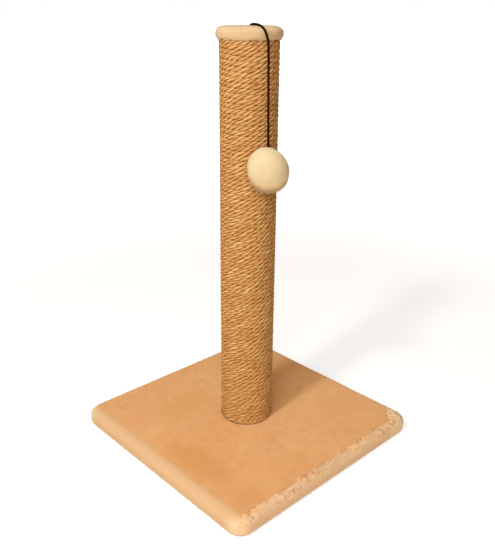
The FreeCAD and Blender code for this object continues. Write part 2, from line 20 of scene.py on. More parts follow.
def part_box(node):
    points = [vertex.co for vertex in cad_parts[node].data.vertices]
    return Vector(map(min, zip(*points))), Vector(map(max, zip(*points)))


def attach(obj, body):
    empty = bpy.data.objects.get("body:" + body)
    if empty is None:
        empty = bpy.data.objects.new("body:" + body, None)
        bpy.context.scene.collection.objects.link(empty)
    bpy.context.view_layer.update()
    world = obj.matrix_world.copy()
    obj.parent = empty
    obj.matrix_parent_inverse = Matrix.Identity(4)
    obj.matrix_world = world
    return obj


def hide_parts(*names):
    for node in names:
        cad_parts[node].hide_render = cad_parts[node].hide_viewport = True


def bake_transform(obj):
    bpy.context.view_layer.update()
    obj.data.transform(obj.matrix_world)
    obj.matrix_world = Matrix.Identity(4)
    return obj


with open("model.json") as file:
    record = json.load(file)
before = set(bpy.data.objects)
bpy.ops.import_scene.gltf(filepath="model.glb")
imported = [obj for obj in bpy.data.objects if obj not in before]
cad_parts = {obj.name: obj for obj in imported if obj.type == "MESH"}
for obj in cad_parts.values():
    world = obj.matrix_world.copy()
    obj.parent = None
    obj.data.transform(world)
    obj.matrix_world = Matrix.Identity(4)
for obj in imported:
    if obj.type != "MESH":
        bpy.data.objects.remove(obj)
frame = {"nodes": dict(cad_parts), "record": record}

LOG = logging.getLogger("scratching_post")
MM = 0.001
FULL_TURN = 2 * math.pi
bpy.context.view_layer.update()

Colour = tuple[float, float, float]
Point = tuple[float, float, float]


def screen_colour(red: int, green: int, blue: int) -> Colour:
    """A colour as it looks on a screen, 0 to 255, as the linear values that a shader takes.

    Args:
        red: Red on the screen.
        green: Green on the screen.
        blue: Blue on the screen.

    Returns:
        The linear colour.
    """
    shares = [value / 255 for value in (red, green, blue)]
    return tuple(((s + 0.055) / 1.055) ** 2.4 if s > 0.04 else s / 12.92 for s in shares)


# ---------------------------------------------------------------- node groups and materials

@dataclass
class Wiring:
    """Adds nodes to one tree. An input that is given a socket is linked, and any other value is set."""

    tree: bpy.types.NodeTree

    def add(self, kind: str, inputs: dict | None = None, **settings: object) -> bpy.types.Node:
        """Add one node.

        Args:
            kind: The node's type, without "ShaderNode" if it starts so.
            inputs: Sockets to link or values to set, by the input's name or number.
            **settings: The node's own settings.

        Returns:
            The new node.
        """
        node = self.tree.nodes.new(kind if kind.startswith("NodeGroup") else "ShaderNode" + kind)
        for name, value in settings.items():
            setattr(node, name, value)
        self.put(node, inputs)
        return node

    def put(self, node: bpy.types.Node, inputs: dict | None = None, **named: object) -> None:
        """Link sockets to a node's inputs, or set their values.

        Args:
            node: The node.
            inputs: Sockets or values by the input's name or number.
            **named: More of them by name, where Base_Color stands for Base Color.
        """
        for key, value in ((inputs or {}) | {name.replace("_", " "): named[name] for name in named}).items():
            if isinstance(value, bpy.types.NodeSocket):
                self.tree.links.new(value, node.inputs[key])
            elif node.inputs[key].type == "RGBA":
                node.inputs[key].default_value = (*value, 1.0)
            else:
                node.inputs[key].default_value = value

    def noise(self, place: bpy.types.NodeSocket, scale: object, detail: float = 3.0,
              rough: float = 0.5) -> bpy.types.NodeSocket:
        """A noise value at a place.

        Args:
            place: The coordinates.
            scale: Waves per metre.
            detail: How many finer layers it has.
            rough: How strong these are.

        Returns:
            The value's socket.
        """
        inputs = {"Vector": place, "Scale": scale, "Detail": detail, "Roughness": rough}
        return self.add("TexNoise", inputs).outputs["Fac"]

    def ramp(self, value: bpy.types.NodeSocket, low: float, high: float,
             to_low: float = 0.0, to_high: float = 1.0) -> bpy.types.NodeSocket:
        """A value carried smoothly from one range to another.

        Args:
            value: The value's socket.
            low: Where the range starts.
            high: Where it ends.
            to_low: The result at the start.
            to_high: The result at the end.

        Returns:
            The result's socket.
        """
        inputs = {"Value": value, "From Min": low, "From Max": high, "To Min": to_low, "To Max": to_high}
        return self.add("MapRange", inputs, interpolation_type="SMOOTHSTEP").outputs["Result"]

    def maths(self, operation: str, first: object, second: object = 0.0) -> bpy.types.NodeSocket:
        """One sum, product or other operation on two values."""
        return self.add("Math", {0: first, 1: second}, operation=operation).outputs[0]

    def vector(self, operation: str, *inputs: object) -> bpy.types.NodeSocket:
        """The vector that comes of an operation on vectors."""
        return self.add("VectorMath", dict(enumerate(inputs)), operation=operation).outputs[0]

    def length(self, place: bpy.types.NodeSocket) -> bpy.types.NodeSocket:
        """How long a vector is."""
        return self.add("VectorMath", {0: place}, operation="LENGTH").outputs["Value"]

    def shaded(self, colour: bpy.types.NodeSocket, shade: bpy.types.NodeSocket) -> bpy.types.NodeSocket:
        """A colour made darker or lighter by a value."""
        tint = self.add("CombineColor", {0: shade, 1: shade, 2: shade}).outputs[0]
        return self.mix(1.0, colour, tint, "MULTIPLY")

    def bump(self, shader: bpy.types.Node, height: bpy.types.NodeSocket, depth: float, strength: float = 1.0) -> None:
        """Roughen a shader's surface by a height."""
        inputs = {"Strength": strength, "Distance": depth, "Height": height}
        self.put(shader, Normal=self.add("Bump", inputs).outputs[0])

    def seen(self) -> bpy.types.NodeSocket:
        """1 for what the camera or a mirror sees, and 0 for the light that falls on things."""
        path = self.add("LightPath")
        return self.maths("MAXIMUM", path.outputs["Is Camera Ray"], path.outputs["Is Glossy Ray"])

    def mix(self, share: object, first: object, second: object,
            blend: str = "MIX") -> bpy.types.NodeSocket:
        """Two colours mixed by a share.

        Args:
            share: How much of the second colour.
            first: The first colour.
            second: The second colour.
            blend: The way they mix.

        Returns:
            The colour's socket.
        """
        inputs = {0: share, 6: first, 7: second}
        return self.add("Mix", inputs, data_type="RGBA", blend_type=blend).outputs[2]


def bare_wiring(owner: bpy.types.Material | bpy.types.World) -> Wiring:
    """Wiring for a material or a surround, with no node in it yet.

    Args:
        owner: The material or the surround.

    Returns:
        Its wiring.
    """
    owner.use_nodes = True
    owner.node_tree.nodes.clear()
    return Wiring(owner.node_tree)


def new_group(name: str, inputs: Sequence[tuple], outputs: Sequence[tuple]) -> tuple[Wiring, dict, bpy.types.Node]:
    """An empty node group with named sockets.

    Args:
        name: The group's name.
        inputs: Name, type and start value of each input.
        outputs: Name and type of each output.

    Returns:
        Its wiring, its inputs' sockets by name, and its output node.
    """
    tree = bpy.data.node_groups.new(name, "ShaderNodeTree")
    for label, kind, value in inputs:
        socket = tree.interface.new_socket(label, in_out="INPUT", socket_type=f"NodeSocket{kind}")
        if value is not None:
            socket.default_value = value
    for label, kind in outputs:
        tree.interface.new_socket(label, in_out="OUTPUT", socket_type=f"NodeSocket{kind}")
    wiring = Wiring(tree)
    source = wiring.add("NodeGroupInput")
    result = wiring.add("NodeGroupOutput")
    return wiring, {socket.name: socket for socket in source.outputs if socket.name}, result


def make_nap_group() -> bpy.types.NodeTree:
    """The nap of a plush: soft patches brushed one way or the other, small clumps and single fibres."""
    wiring, given, result = new_group(
        "plush_nap",
        [("Place", "Vector", None), ("Light", "Color", None), ("Deep", "Color", None),
         ("Patch Scale", "Float", 12.0), ("Clump Scale", "Float", 220.0), ("Fibre Scale", "Float", 1500.0)],
        [("Color", "Color"), ("Height", "Float"), ("Clumps", "Float")])
    patches = wiring.noise(given["Place"], given["Patch Scale"], 4.0, 0.5)
    clumps = wiring.noise(given["Place"], given["Clump Scale"], 3.0, 0.6)
    fibres = wiring.noise(given["Place"], given["Fibre Scale"], 2.0, 0.6)
    drift = wiring.ramp(wiring.noise(given["Place"], 70.0, 3.0, 0.65), 0.3, 0.7, 0.955, 1.03)
    soft = wiring.mix(wiring.ramp(patches, 0.3, 0.7), given["Deep"], given["Light"])
    clump_share = wiring.ramp(clumps, 0.25, 0.75, 0.965, 1.03)
    fibre_share = wiring.ramp(fibres, 0.25, 0.75, 0.93, 1.06)
    shade = wiring.maths("MULTIPLY", wiring.maths("MULTIPLY", clump_share, fibre_share), drift)
    height = wiring.maths("ADD", wiring.maths("MULTIPLY", clumps, 0.5), wiring.maths("MULTIPLY", fibres, 0.5))
    wiring.put(result, Color=wiring.shaded(soft, shade), Height=height, Clumps=clumps)
    return wiring.tree


def make_strand_group() -> bpy.types.NodeTree:
    """Fibres that run along a twisted strand: fine across it and long along it."""
    wiring, given, result = new_group(
        "strand_fibres",
        [("Place", "Vector", None), ("Across", "Float", 2200.0), ("Along", "Float", 90.0)],
        [("Fibres", "Float"), ("Strand Tone", "Float")])
    stretch = wiring.add("CombineXYZ", {0: given["Across"], 1: given["Across"], 2: given["Along"]})
    place = wiring.vector("MULTIPLY", given["Place"], stretch.outputs[0])
    tone = wiring.noise(wiring.vector("MULTIPLY", place, (0.12, 0.12, 0.35)), 1.0, 1.0, 0.5)
    wiring.put(result, Fibres=wiring.noise(place, 1.0, 4.0, 0.62), Strand_Tone=tone)
    return wiring.tree


def make_chip_group() -> bpy.types.NodeTree:
    """Pressed chips or paper pulp: flat flecks of two tones."""
    wiring, given, result = new_group(
        "pressed_chips",
        [("Place", "Vector", None), ("Light", "Color", None), ("Deep", "Color", None), ("Size", "Float", 400.0)],
        [("Color", "Color"), ("Height", "Float")])
    warp = wiring.noise(given["Place"], 60.0, 2.0)
    moved = wiring.vector("MULTIPLY_ADD", warp, (0.004, 0.004, 0.001), given["Place"])
    chips = wiring.add("TexVoronoi", {"Vector": moved, "Scale": given["Size"]})
    tone = wiring.add("SeparateColor", {0: chips.outputs["Color"]}).outputs[0]
    wiring.put(result, Color=wiring.mix(tone, given["Deep"], given["Light"]), Height=chips.outputs["Distance"])
    return wiring.tree


class SharedGroups:
    """The node groups that several finishes place, built once."""

    nap: bpy.types.NodeTree
    strand: bpy.types.NodeTree
    chips: bpy.types.NodeTree

    @classmethod
    def build(cls) -> None:
        """Build every group."""
        cls.nap = make_nap_group()
        cls.strand = make_strand_group()
        cls.chips = make_chip_group()


def new_material(name: str) -> tuple[bpy.types.Material, Wiring, bpy.types.Node]:
    """A material with a Principled shader and nothing else.

    Args:
        name: The material's name.

    Returns:
        The material, its wiring and its shader.
    """
    material = bpy.data.materials.new(name)
    wiring = bare_wiring(material)
    shader = wiring.add("BsdfPrincipled")
    wiring.add("OutputMaterial", {"Surface": shader.outputs[0]})
    return material, wiring, shader


def object_place(wiring: Wiring) -> bpy.types.NodeSocket:
    """The piece's own coordinates."""
    return wiring.add("TexCoord").outputs["Object"]


def attribute(wiring: Wiring, name: str) -> bpy.types.Node:
    """The node that reads coordinates or a value that a piece's mesh holds under a name."""
    return wiring.add("Attribute", attribute_name=name)


@dataclass(frozen=True)
class PlushFinish:
    """A short-pile plush that takes a lighter side colour below a height: partly the pile seen end-on where it turns
    down over an edge, partly painted light that lightens where less light falls.
    """

    name: str
    light: Colour
    deep: Colour
    side: Colour
    side_from: float = -1.0
    side_to: float = -0.5
    patch_scale: float = 12.0
    clump_scale: float = 230.0
    fibre_scale: float = 1400.0
    relief: float = 0.3 * MM
    sheen: float = 0.05
    softness: float = 0.6
    soft_depth: float = 5.0 * MM

    def material(self, loose: bool = False) -> bpy.types.Material:
        """The plush's material.

        Args:
            loose: Whether it is for loose fibres, which are darker at the root than at the tip.

        Returns:
            The material.
        """
        material, wiring, shader = new_material(self.name + ("_loose" if loose else ""))
        place = object_place(wiring)
        inputs = {"Place": place, "Light": self.light, "Deep": self.deep, "Patch Scale": self.patch_scale,
                  "Clump Scale": self.clump_scale, "Fibre Scale": self.fibre_scale}
        nap = wiring.add("Group", inputs, node_tree=SharedGroups.nap)
        height = wiring.add("SeparateXYZ", {0: place}).outputs["Z"]
        height = wiring.maths("ADD", height, wiring.ramp(nap.outputs["Clumps"], 0.2, 0.8, -0.8 * MM, 0.8 * MM))
        colour = self.brushed(wiring, place, nap.outputs["Color"])
        # Painted light, partly: below side_from the side colour lightens the plush where less light falls, such as the
        # ball's underside and the cap's side.
        colour = wiring.mix(wiring.ramp(height, self.side_from, self.side_to, 1.0, 0.0), colour, self.side)
        colour = self.ruffled(wiring, place, colour)
        if loose:
            along = attribute(wiring, "fibre_share").outputs["Fac"]
            colour = wiring.shaded(colour, wiring.ramp(along, 0.0, 1.0, 0.92, 1.08))
        else:
            wiring.bump(shader, nap.outputs["Height"], self.relief)
            wiring.put(shader, Subsurface_Weight=self.softness, Subsurface_Radius=(1.0, 0.7, 0.45),
                       Subsurface_Scale=self.soft_depth)
        wiring.put(shader, Base_Color=colour, Roughness=0.95, Specular_IOR_Level=0.0, Sheen_Weight=self.sheen,
                   Sheen_Roughness=0.45, Sheen_Tint=self.side)
        return material

    def brushed(self, wiring: Wiring, place: bpy.types.NodeSocket,
                colour: bpy.types.NodeSocket) -> bpy.types.NodeSocket:
        """The top's colour with its brush marks; a plain plush has none."""
        return colour

    def ruffled(self, wiring: Wiring, place: bpy.types.NodeSocket,
                colour: bpy.types.NodeSocket) -> bpy.types.NodeSocket:
        """The whole colour with its ruffled places; a plain plush has none."""
        return colour


@dataclass(frozen=True)
class BrushMark:
    """An oval on the base's top where the pile lies another way."""

    centre: tuple[float, float]
    half_size: tuple[float, float]
    turn: float
    colour: Colour
    strength: float


@dataclass(frozen=True)
class BasePlushFinish(PlushFinish):
    """The base's plush, with its brush marks, its ruffled edge and corner, its lighter corners, a side colour that
    reaches further in along the -X edge as partly painted light, and painted shade between its curls.
    """

    marks: tuple[BrushMark, ...] = ()
    ruffled_colour: Colour = screen_colour(240, 202, 162)
    far_colour: Colour = screen_colour(252, 217, 176)
    # Painted shade that fills the gaps between the curls.
    curl_gap_shade_colour: Colour = screen_colour(230, 182, 134)
    corner_colour: Colour = screen_colour(230, 207, 172)
    half_side: float = 175.0 * MM
    edge_line: float = -166.0 * MM
    corner_line: float = 304.0 * MM
    warp: float = 30.0 * MM

    def brushed(self, wiring: Wiring, place: bpy.types.NodeSocket,
                colour: bpy.types.NodeSocket) -> bpy.types.NodeSocket:
        """The top's colour with its brush marks, each with a ragged outline."""
        warp = wiring.add("TexNoise", {"Vector": place, "Scale": 45.0, "Detail": 4.0})
        moved = wiring.vector("MULTIPLY_ADD", warp.outputs["Color"], (self.warp, self.warp, 0.0), place)
        for mark in self.marks:
            inputs = {0: moved, "Location": (*(value + self.warp / 2 for value in mark.centre), 0.0),
                      "Rotation": (0.0, 0.0, math.radians(mark.turn)), "Scale": (*mark.half_size, 1.0)}
            oval = wiring.add("Mapping", inputs, vector_type="TEXTURE").outputs[0]
            colour = wiring.mix(wiring.ramp(wiring.length(oval), 0.35, 1.25, mark.strength, 0.0), colour, mark.colour)
        return colour

    def ruffled(self, wiring: Wiring, place: bpy.types.NodeSocket,
                colour: bpy.types.NodeSocket) -> bpy.types.NodeSocket:
        """The colour with its side colour at the edges, its ruffled edge and corner with painted shade between the
        curls, and its lighter corners.
        """
        maths, ramp = wiring.maths, wiring.ramp
        parts = wiring.add("SeparateXYZ", {0: place}).outputs
        aside = [maths("ABSOLUTE", parts[axis]) for axis in "XY"]
        ragged = ramp(wiring.noise(place, 60.0, 4.0, 0.6), 0.3, 0.7, -2.5 * MM, 2.5 * MM)
        # Partly painted light: along the -X edge, which faces the key lamp, the side colour starts further in than
        # along the other edges.
        far_reach = maths("SUBTRACT", maths("MAXIMUM", *aside), 9 * MM)
        reach = maths("ADD", maths("MAXIMUM", maths("MULTIPLY", parts["X"], -1.0), far_reach), ragged)
        colour = wiring.mix(ramp(reach, self.half_side - 18 * MM, self.half_side - 8 * MM), colour, self.side)
        corner_share = ramp(maths("ADD", *aside), 318 * MM, 340 * MM, 0.0, 0.85)
        colour = wiring.mix(corner_share, colour, self.corner_colour)
        ragged = ramp(wiring.noise(place, 110.0, 4.0, 0.7), 0.3, 0.7, -4 * MM, 4 * MM)
        across = maths("ADD", parts["Y"], ragged)
        edge_share = ramp(across, self.edge_line - MM, self.edge_line + 3 * MM, 1.0, 0.0)
        diagonal = maths("SUBTRACT", parts["X"], across)
        far_share = ramp(diagonal, self.corner_line - MM, self.corner_line + 2 * MM)
        pale = wiring.mix(far_share, self.ruffled_colour, self.far_colour)
        # Painted shade: on the ruffled edge's upper part the colour darkens between the curls to the gap shade colour.
        curls = wiring.add("TexVoronoi", {"Vector": place, "Scale": 230.0}).outputs["Distance"]
        thin = ramp(wiring.noise(place, 50.0, 2.0), 0.4, 0.6, 0.15, 0.8)
        curl_gap_shade = maths("MULTIPLY", ramp(curls, 0.4, 0.8), maths("MULTIPLY", ramp(parts["Z"], 16 * MM, 22 * MM), thin))
        return wiring.mix(maths("MAXIMUM", edge_share, far_share), colour, wiring.mix(curl_gap_shade, pale, self.curl_gap_shade_colour))


@dataclass(frozen=True)
class FibreFinish:
    """Loose fibres, darker at the root than at the tip."""

    name: str
    root: Colour
    tip: Colour
    roughness: float = 0.9

    def material(self) -> bpy.types.Material:
        """The material, which reads how far along its fibre each point lies."""
        material, wiring, shader = new_material(self.name)
        along = attribute(wiring, "fibre_share").outputs["Fac"]
        tone = wiring.noise(object_place(wiring), 120.0, 2.0)
        share = wiring.maths("MULTIPLY", wiring.ramp(along, 0.0, 0.8), wiring.ramp(tone, 0.2, 0.8, 0.6, 1.0))
        wiring.put(shader, Base_Color=wiring.mix(share, self.root, self.tip), Roughness=self.roughness,
                   Specular_IOR_Level=0.0)
        return material


@dataclass(frozen=True)
class TwistFinish:
    """Twisted fibre: rope strands or a braided cord, with streaks that follow the twist and painted shade in the
    grooves.
    """

    name: str
    light: Colour
    deep: Colour
    across: float
    along: float
    relief: float
    roughness: float

    def material(self) -> bpy.types.Material:
        """The material, which reads the untwisted place and the groove shade that the piece's mesh holds, and paints
        shade in the grooves in the deep colour.
        """
        material, wiring, shader = new_material(self.name)
        inputs = {"Place": attribute(wiring, "strand_place").outputs["Vector"], "Across": self.across,
                  "Along": self.along}
        strand = wiring.add("Group", inputs, node_tree=SharedGroups.strand)
        groove = attribute(wiring, "groove").outputs["Fac"]
        fibres = wiring.ramp(strand.outputs["Fibres"], 0.3, 0.68)
        tone = wiring.ramp(strand.outputs["Strand Tone"], 0.25, 0.75, 0.55, 1.0)
        # Painted shade: low in the grooves the colour turns to the deep one.
        share = wiring.maths("MULTIPLY", wiring.maths("MULTIPLY", fibres, tone), groove)
        wiring.bump(shader, strand.outputs["Fibres"], self.relief)
        wiring.put(shader, Base_Color=wiring.mix(share, self.deep, self.light), Roughness=self.roughness,
                   Specular_IOR_Level=0.0)
        return material


@dataclass(frozen=True)
class ChipFinish:
    """Particle board, cardboard or raw wood."""

    name: str
    light: Colour
    deep: Colour
    size: float
    stretch: Point = (1.0, 1.0, 1.0)

    def material(self) -> bpy.types.Material:
        """The material: pressed chips, drawn out along the grain."""
        material, wiring, shader = new_material(self.name)
        mapped = wiring.add("Mapping", {0: object_place(wiring), "Scale": self.stretch})
        inputs = {"Place": mapped.outputs[0], "Light": self.light, "Deep": self.deep, "Size": self.size}
        chips = wiring.add("Group", inputs, node_tree=SharedGroups.chips)
        wiring.bump(shader, chips.outputs["Height"], 0.3 * MM, 0.6)
        wiring.put(shader, Base_Color=chips.outputs["Color"], Roughness=0.85)
        return material


@dataclass(frozen=True)
class MetalFinish:
    """Bright zinc-plated steel, a little stained."""

    name: str
    bright: Colour = (0.62, 0.63, 0.64)
    stained: Colour = (0.38, 0.37, 0.33)

    def material(self) -> bpy.types.Material:
        """The material: bright metal with stains that are duller and rougher."""
        material, wiring, shader = new_material(self.name)
        stains = wiring.ramp(wiring.noise(object_place(wiring), 300.0, 4.0, 0.6), 0.45, 0.75)
        wiring.put(shader, Base_Color=wiring.mix(stains, self.bright, self.stained),
                   Roughness=wiring.ramp(stains, 0.0, 1.0, 0.25, 0.55), Metallic=1.0)
        return material


# ---------------------------------------------------------------- modelling

def deselect_all() -> None:
    """Select nothing."""
    bpy.ops.object.select_all(action="DESELECT")


def linked(name: str, data: bpy.types.ID) -> bpy.types.Object:
    """A new object in the scene.

    Args:
        name: The object's name.
        data: Its mesh, curve, camera or lamp.

    Returns:
        The object.
    """
    piece = bpy.data.objects.new(name, data)
    bpy.context.scene.collection.objects.link(piece)
    return piece


def make_active(piece: bpy.types.Object) -> None:
    """Select one object alone."""
    deselect_all()
    piece.hide_set(False)
    piece.select_set(True)
    bpy.context.view_layer.objects.active = piece


@contextmanager
def editing(piece: bpy.types.Object) -> Iterator[bmesh.types.BMesh]:
    """Edit mode on one object, with its mesh as it is edited.

    Args:
        piece: The object.

    Yields:
        The edited mesh.
    """
    make_active(piece)
    bpy.ops.object.mode_set(mode="EDIT")
    yield bmesh.from_edit_mesh(piece.data)
    bpy.ops.object.mode_set(mode="OBJECT")


def apply_modifier(piece: bpy.types.Object, kind: str, **settings: object) -> None:
    """Put one modifier on a piece and apply it.

    Args:
        piece: The piece.
        kind: The modifier's type.
        **settings: The modifier's settings.
    """
    make_active(piece)
    modifier = piece.modifiers.new(kind.lower(), kind)
    for name, value in settings.items():
        setattr(modifier, name, value)
    bpy.ops.object.modifier_apply(modifier=modifier.name)


def finish_piece(piece: bpy.types.Object, name: str) -> None:
    """Name a piece, put its place in its mesh and shade it smooth."""
    make_active(piece)
    piece.name = name
    piece.data.name = name
    bpy.ops.object.transform_apply(location=True, rotation=True, scale=True)
    bpy.ops.object.shade_smooth()


def dress(piece: bpy.types.Object, material: bpy.types.Material, body: str, slot: str,
          *nodes: str) -> None:
    """Give a piece its material, its body, its slot and the nodes that it stands for.

    Args:
        piece: The piece.
        material: Its material.
        body: The body that it rides on.
        slot: The record's material slot; not used.
        *nodes: The nodes that it replaces.
    """
    piece.data.materials.clear()
    piece.data.materials.append(material)
    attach(piece, body)
    if nodes:
        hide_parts(*nodes)
    LOG.info("%s: %d faces on %s", piece.name, len(piece.data.polygons), body)


def primitive(operator: Callable, name: str, **settings: object) -> bpy.types.Object:
    """Add a primitive at its size and place.

    Args:
        operator: The operator that adds it.
        name: The piece's name.
        **settings: The operator's settings.

    Returns:
        The piece.
    """
    deselect_all()
    operator(**settings)
    piece = bpy.context.object
    finish_piece(piece, name)
    return piece


def vertex_places(piece: bpy.types.Object) -> np.ndarray:
    """The places of a piece's vertices, one row each."""
    places = np.empty(len(piece.data.vertices) * 3)
    piece.data.vertices.foreach_get("co", places)
    return places.reshape(-1, 3)


def move_vertices(piece: bpy.types.Object, places: np.ndarray) -> None:
    """Put a piece's vertices at new places."""
    piece.data.vertices.foreach_set("co", places.astype(np.float32).ravel())
    piece.data.update()


def store_values(piece: bpy.types.Object, name: str, values: np.ndarray) -> None:
    """Keep a number or a vector at each vertex under a name.

    Args:
        piece: The piece.
        name: The attribute's name.
        values: One number or one row of three for each vertex.
    """
    is_vector = values.ndim == 2
    kind, field = ("FLOAT_VECTOR", "vector") if is_vector else ("FLOAT", "value")
    attribute = piece.data.attributes.new(name, kind, "POINT")
    attribute.data.foreach_set(field, values.astype(np.float32).ravel())


def displace(piece: bpy.types.Object, scale: float, strength: float, moved: np.ndarray | None = None) -> None:
    """Raise and sink a piece's surface by a cloud pattern.

    Args:
        piece: The piece.
        scale: Width of the lumps.
        strength: From the lowest to the highest.
        moved: Which vertices are moved, or all of them.
    """
    texture = bpy.data.textures.new(f"{piece.name}_{scale}", "CLOUDS")
    texture.noise_scale = scale
    if moved is not None:
        piece.vertex_groups.new(name="moved").add(np.nonzero(moved)[0].tolist(), 1.0, "REPLACE")
    apply_modifier(piece, "DISPLACE", texture=texture, strength=strength, mid_level=0.5, texture_coords="LOCAL",
                   vertex_group="" if moved is None else "moved")
    piece.vertex_groups.clear()


def refine(piece: bpy.types.Object, chosen: Callable[[np.ndarray], np.ndarray]) -> None:
    """Divide the faces of a piece whose middles pass a test."""
    polygons = piece.data.polygons
    centres = np.empty(len(polygons) * 3)
    polygons.foreach_get("center", centres)
    bpy.context.tool_settings.mesh_select_mode = (False, False, True)
    with editing(piece):
        bpy.ops.mesh.select_all(action="DESELECT")
    polygons.foreach_set("select", chosen(centres.reshape(-1, 3)))
    with editing(piece):
        bpy.ops.mesh.subdivide(number_cuts=1)


def select_rim(mesh: bmesh.types.BMesh) -> None:
    """Select the open edges of the mesh in edit mode.

    Args:
        mesh: The mesh as it is edited.
    """
    bpy.ops.mesh.select_all(action="DESELECT")
    bpy.ops.mesh.select_mode(type="EDGE")
    for edge in mesh.edges:
        edge.select_set(edge.is_boundary)


def close_rim() -> None:
    """Close the open edges that are selected, and turn all faces outwards."""
    bpy.ops.mesh.edge_face_add()
    bpy.ops.mesh.select_all(action="SELECT")
    bpy.ops.mesh.normals_make_consistent(inside=False)


def from_axis(places: np.ndarray) -> np.ndarray:
    """How far places lie from the post's axis."""
    return np.hypot(places[:, 0], places[:, 1])


def from_middle(places: np.ndarray) -> np.ndarray:
    """How far places lie from the base's middle, measured square."""
    return np.abs(places[:, :2]).max(axis=1)


def outwards_at(angle: np.ndarray) -> np.ndarray:
    """Level directions at some angles."""
    return np.stack([np.cos(angle), np.sin(angle), np.zeros(len(angle))], axis=1)


def turned(places: np.ndarray, angle: np.ndarray) -> np.ndarray:
    """Places turned about the vertical, each by an angle of its own."""
    x, y, height = places.T
    return np.stack([x * np.cos(angle) - y * np.sin(angle), x * np.sin(angle) + y * np.cos(angle), height], axis=1)


def quarter_turn(steps: int) -> list[float]:
    """The angles of the steps of a quarter turn."""
    return [math.pi / 2 * number / steps for number in range(1, steps + 1)]


def smooth_step(values: np.ndarray) -> np.ndarray:
    """Values from 0 to 1, eased at both ends."""
    held = np.clip(values, 0, 1)
    return held * held * (3 - 2 * held)


# ---------------------------------------------------------------- loose fibres

class Blade:
    """One tapered fibre, modelled once and copied to every place."""

    def __init__(self, sides: int = 3, cuts: Sequence[float] = (0.55,), swell: float = 1.6) -> None:
        """Model the fibre: a thin cone of unit height and unit radius, cut across.

        Args:
            sides: How many sides it has.
            cuts: Where it is cut across, as shares of its length.
            swell: How much thicker than the plain cone it is at the cuts.
        """
        cone = primitive(bpy.ops.mesh.primitive_cone_add, "fibre_pattern", vertices=sides, radius1=1, radius2=0,
                         depth=1, location=(0, 0, 0.5))
        for height in cuts:
            with editing(cone):
                bpy.ops.mesh.select_all(action="SELECT")
                bpy.ops.mesh.bisect(plane_co=(0, 0, height), plane_no=(0, 0, 1))
        self.places = vertex_places(cone)
        self.faces = [tuple(face.vertices) for face in cone.data.polygons]
        self.places[(self.places[:, 2] > 0.01) & (self.places[:, 2] < 0.99), :2] *= swell
        bpy.data.objects.remove(cone)

    def planted(self, name: str, roots: np.ndarray, out: np.ndarray, lean: np.ndarray, lengths: np.ndarray,
                width: float, hook: np.ndarray | float = 0.0, surface: np.ndarray | None = None) -> bpy.types.Object:
        """Copies of the fibre as one piece.

        Args:
            name: The piece's name.
            roots: Where the fibres start, one row each.
            out: The direction in which each starts.
            lean: The way in which each bends over, as far as its tip lies aside.
            lengths: The fibres' lengths.
            width: Their thickness at the root.
            hook: The way in which each tip curls.
            surface: The normals of what they grow on, by which a soft pile is shaded.

        Returns:
            The piece.
        """
        side = np.cross(out, lean + np.array([0.013, 0.017, 0.011]))
        side /= np.linalg.norm(side, axis=1, keepdims=True)
        front = np.cross(out, side)
        hook = np.broadcast_to(hook, out.shape)
        share = self.places[:, 2]
        along = roots[:, None] + lengths[:, None, None] * (
            out[:, None] * share[None, :, None] + lean[:, None] * (share ** 2)[None, :, None]
            + hook[:, None] * (share ** 3)[None, :, None])
        ring = (side[:, None] * self.places[None, :, 0, None] + front[:, None] * self.places[None, :, 1, None])
        places = (along + ring * width / 2).reshape(-1, 3)
        places[:, 2] = np.maximum(places[:, 2], 0)
        count, step = len(roots), len(self.places)
        faces = [tuple(corner + step * number for corner in face)
                 for number in range(count) for face in self.faces]
        mesh = bpy.data.meshes.new(name)
        mesh.from_pydata(places.tolist(), [], faces)
        piece = linked(name, mesh)
        store_values(piece, "fibre_share", np.tile(share, count))
        finish_piece(piece, name)
        if surface is not None:
            own = np.empty(len(places) * 3)
            mesh.vertex_normals.foreach_get("vector", own)
            shown = unit(np.repeat(surface, step, axis=0) * 0.8 + own.reshape(-1, 3) * 0.2)
            mesh.normals_split_custom_set_from_vertices(shown.tolist())
        return piece


def unit(vectors: np.ndarray) -> np.ndarray:
    """Vectors made one long."""
    return vectors / np.linalg.norm(vectors, axis=1, keepdims=True)


def planted_on(piece: bpy.types.Object, count: int, chance: Callable[[np.ndarray, np.ndarray], np.ndarray],
               seed: int) -> tuple[np.ndarray, np.ndarray, np.random.Generator]:
    """Places scattered over a piece's faces.

    Args:
        piece: The piece.
        count: How many places.
        chance: How likely a face is per area, from the faces' centres and normals.
        seed: The draw's seed.

    Returns:
        The places, the surface's normals there, and the draw for whatever follows.
    """
    draw = np.random.default_rng(seed)
    polygons = piece.data.polygons
    centres, normals = np.empty(len(polygons) * 3), np.empty(len(polygons) * 3)
    areas = np.empty(len(polygons))
    polygons.foreach_get("center", centres)
    polygons.foreach_get("normal", normals)
    polygons.foreach_get("area", areas)
    centres, normals = centres.reshape(-1, 3), normals.reshape(-1, 3)
    weights = areas * chance(centres, normals)
    chosen = draw.choice(len(polygons), count, p=weights / weights.sum())
    spread = np.sqrt(areas[chosen])[:, None] * (draw.random((count, 3)) - 0.5)
    spread -= normals[chosen] * (spread * normals[chosen]).sum(1, keepdims=True)
    return centres[chosen] + spread, normals[chosen], draw


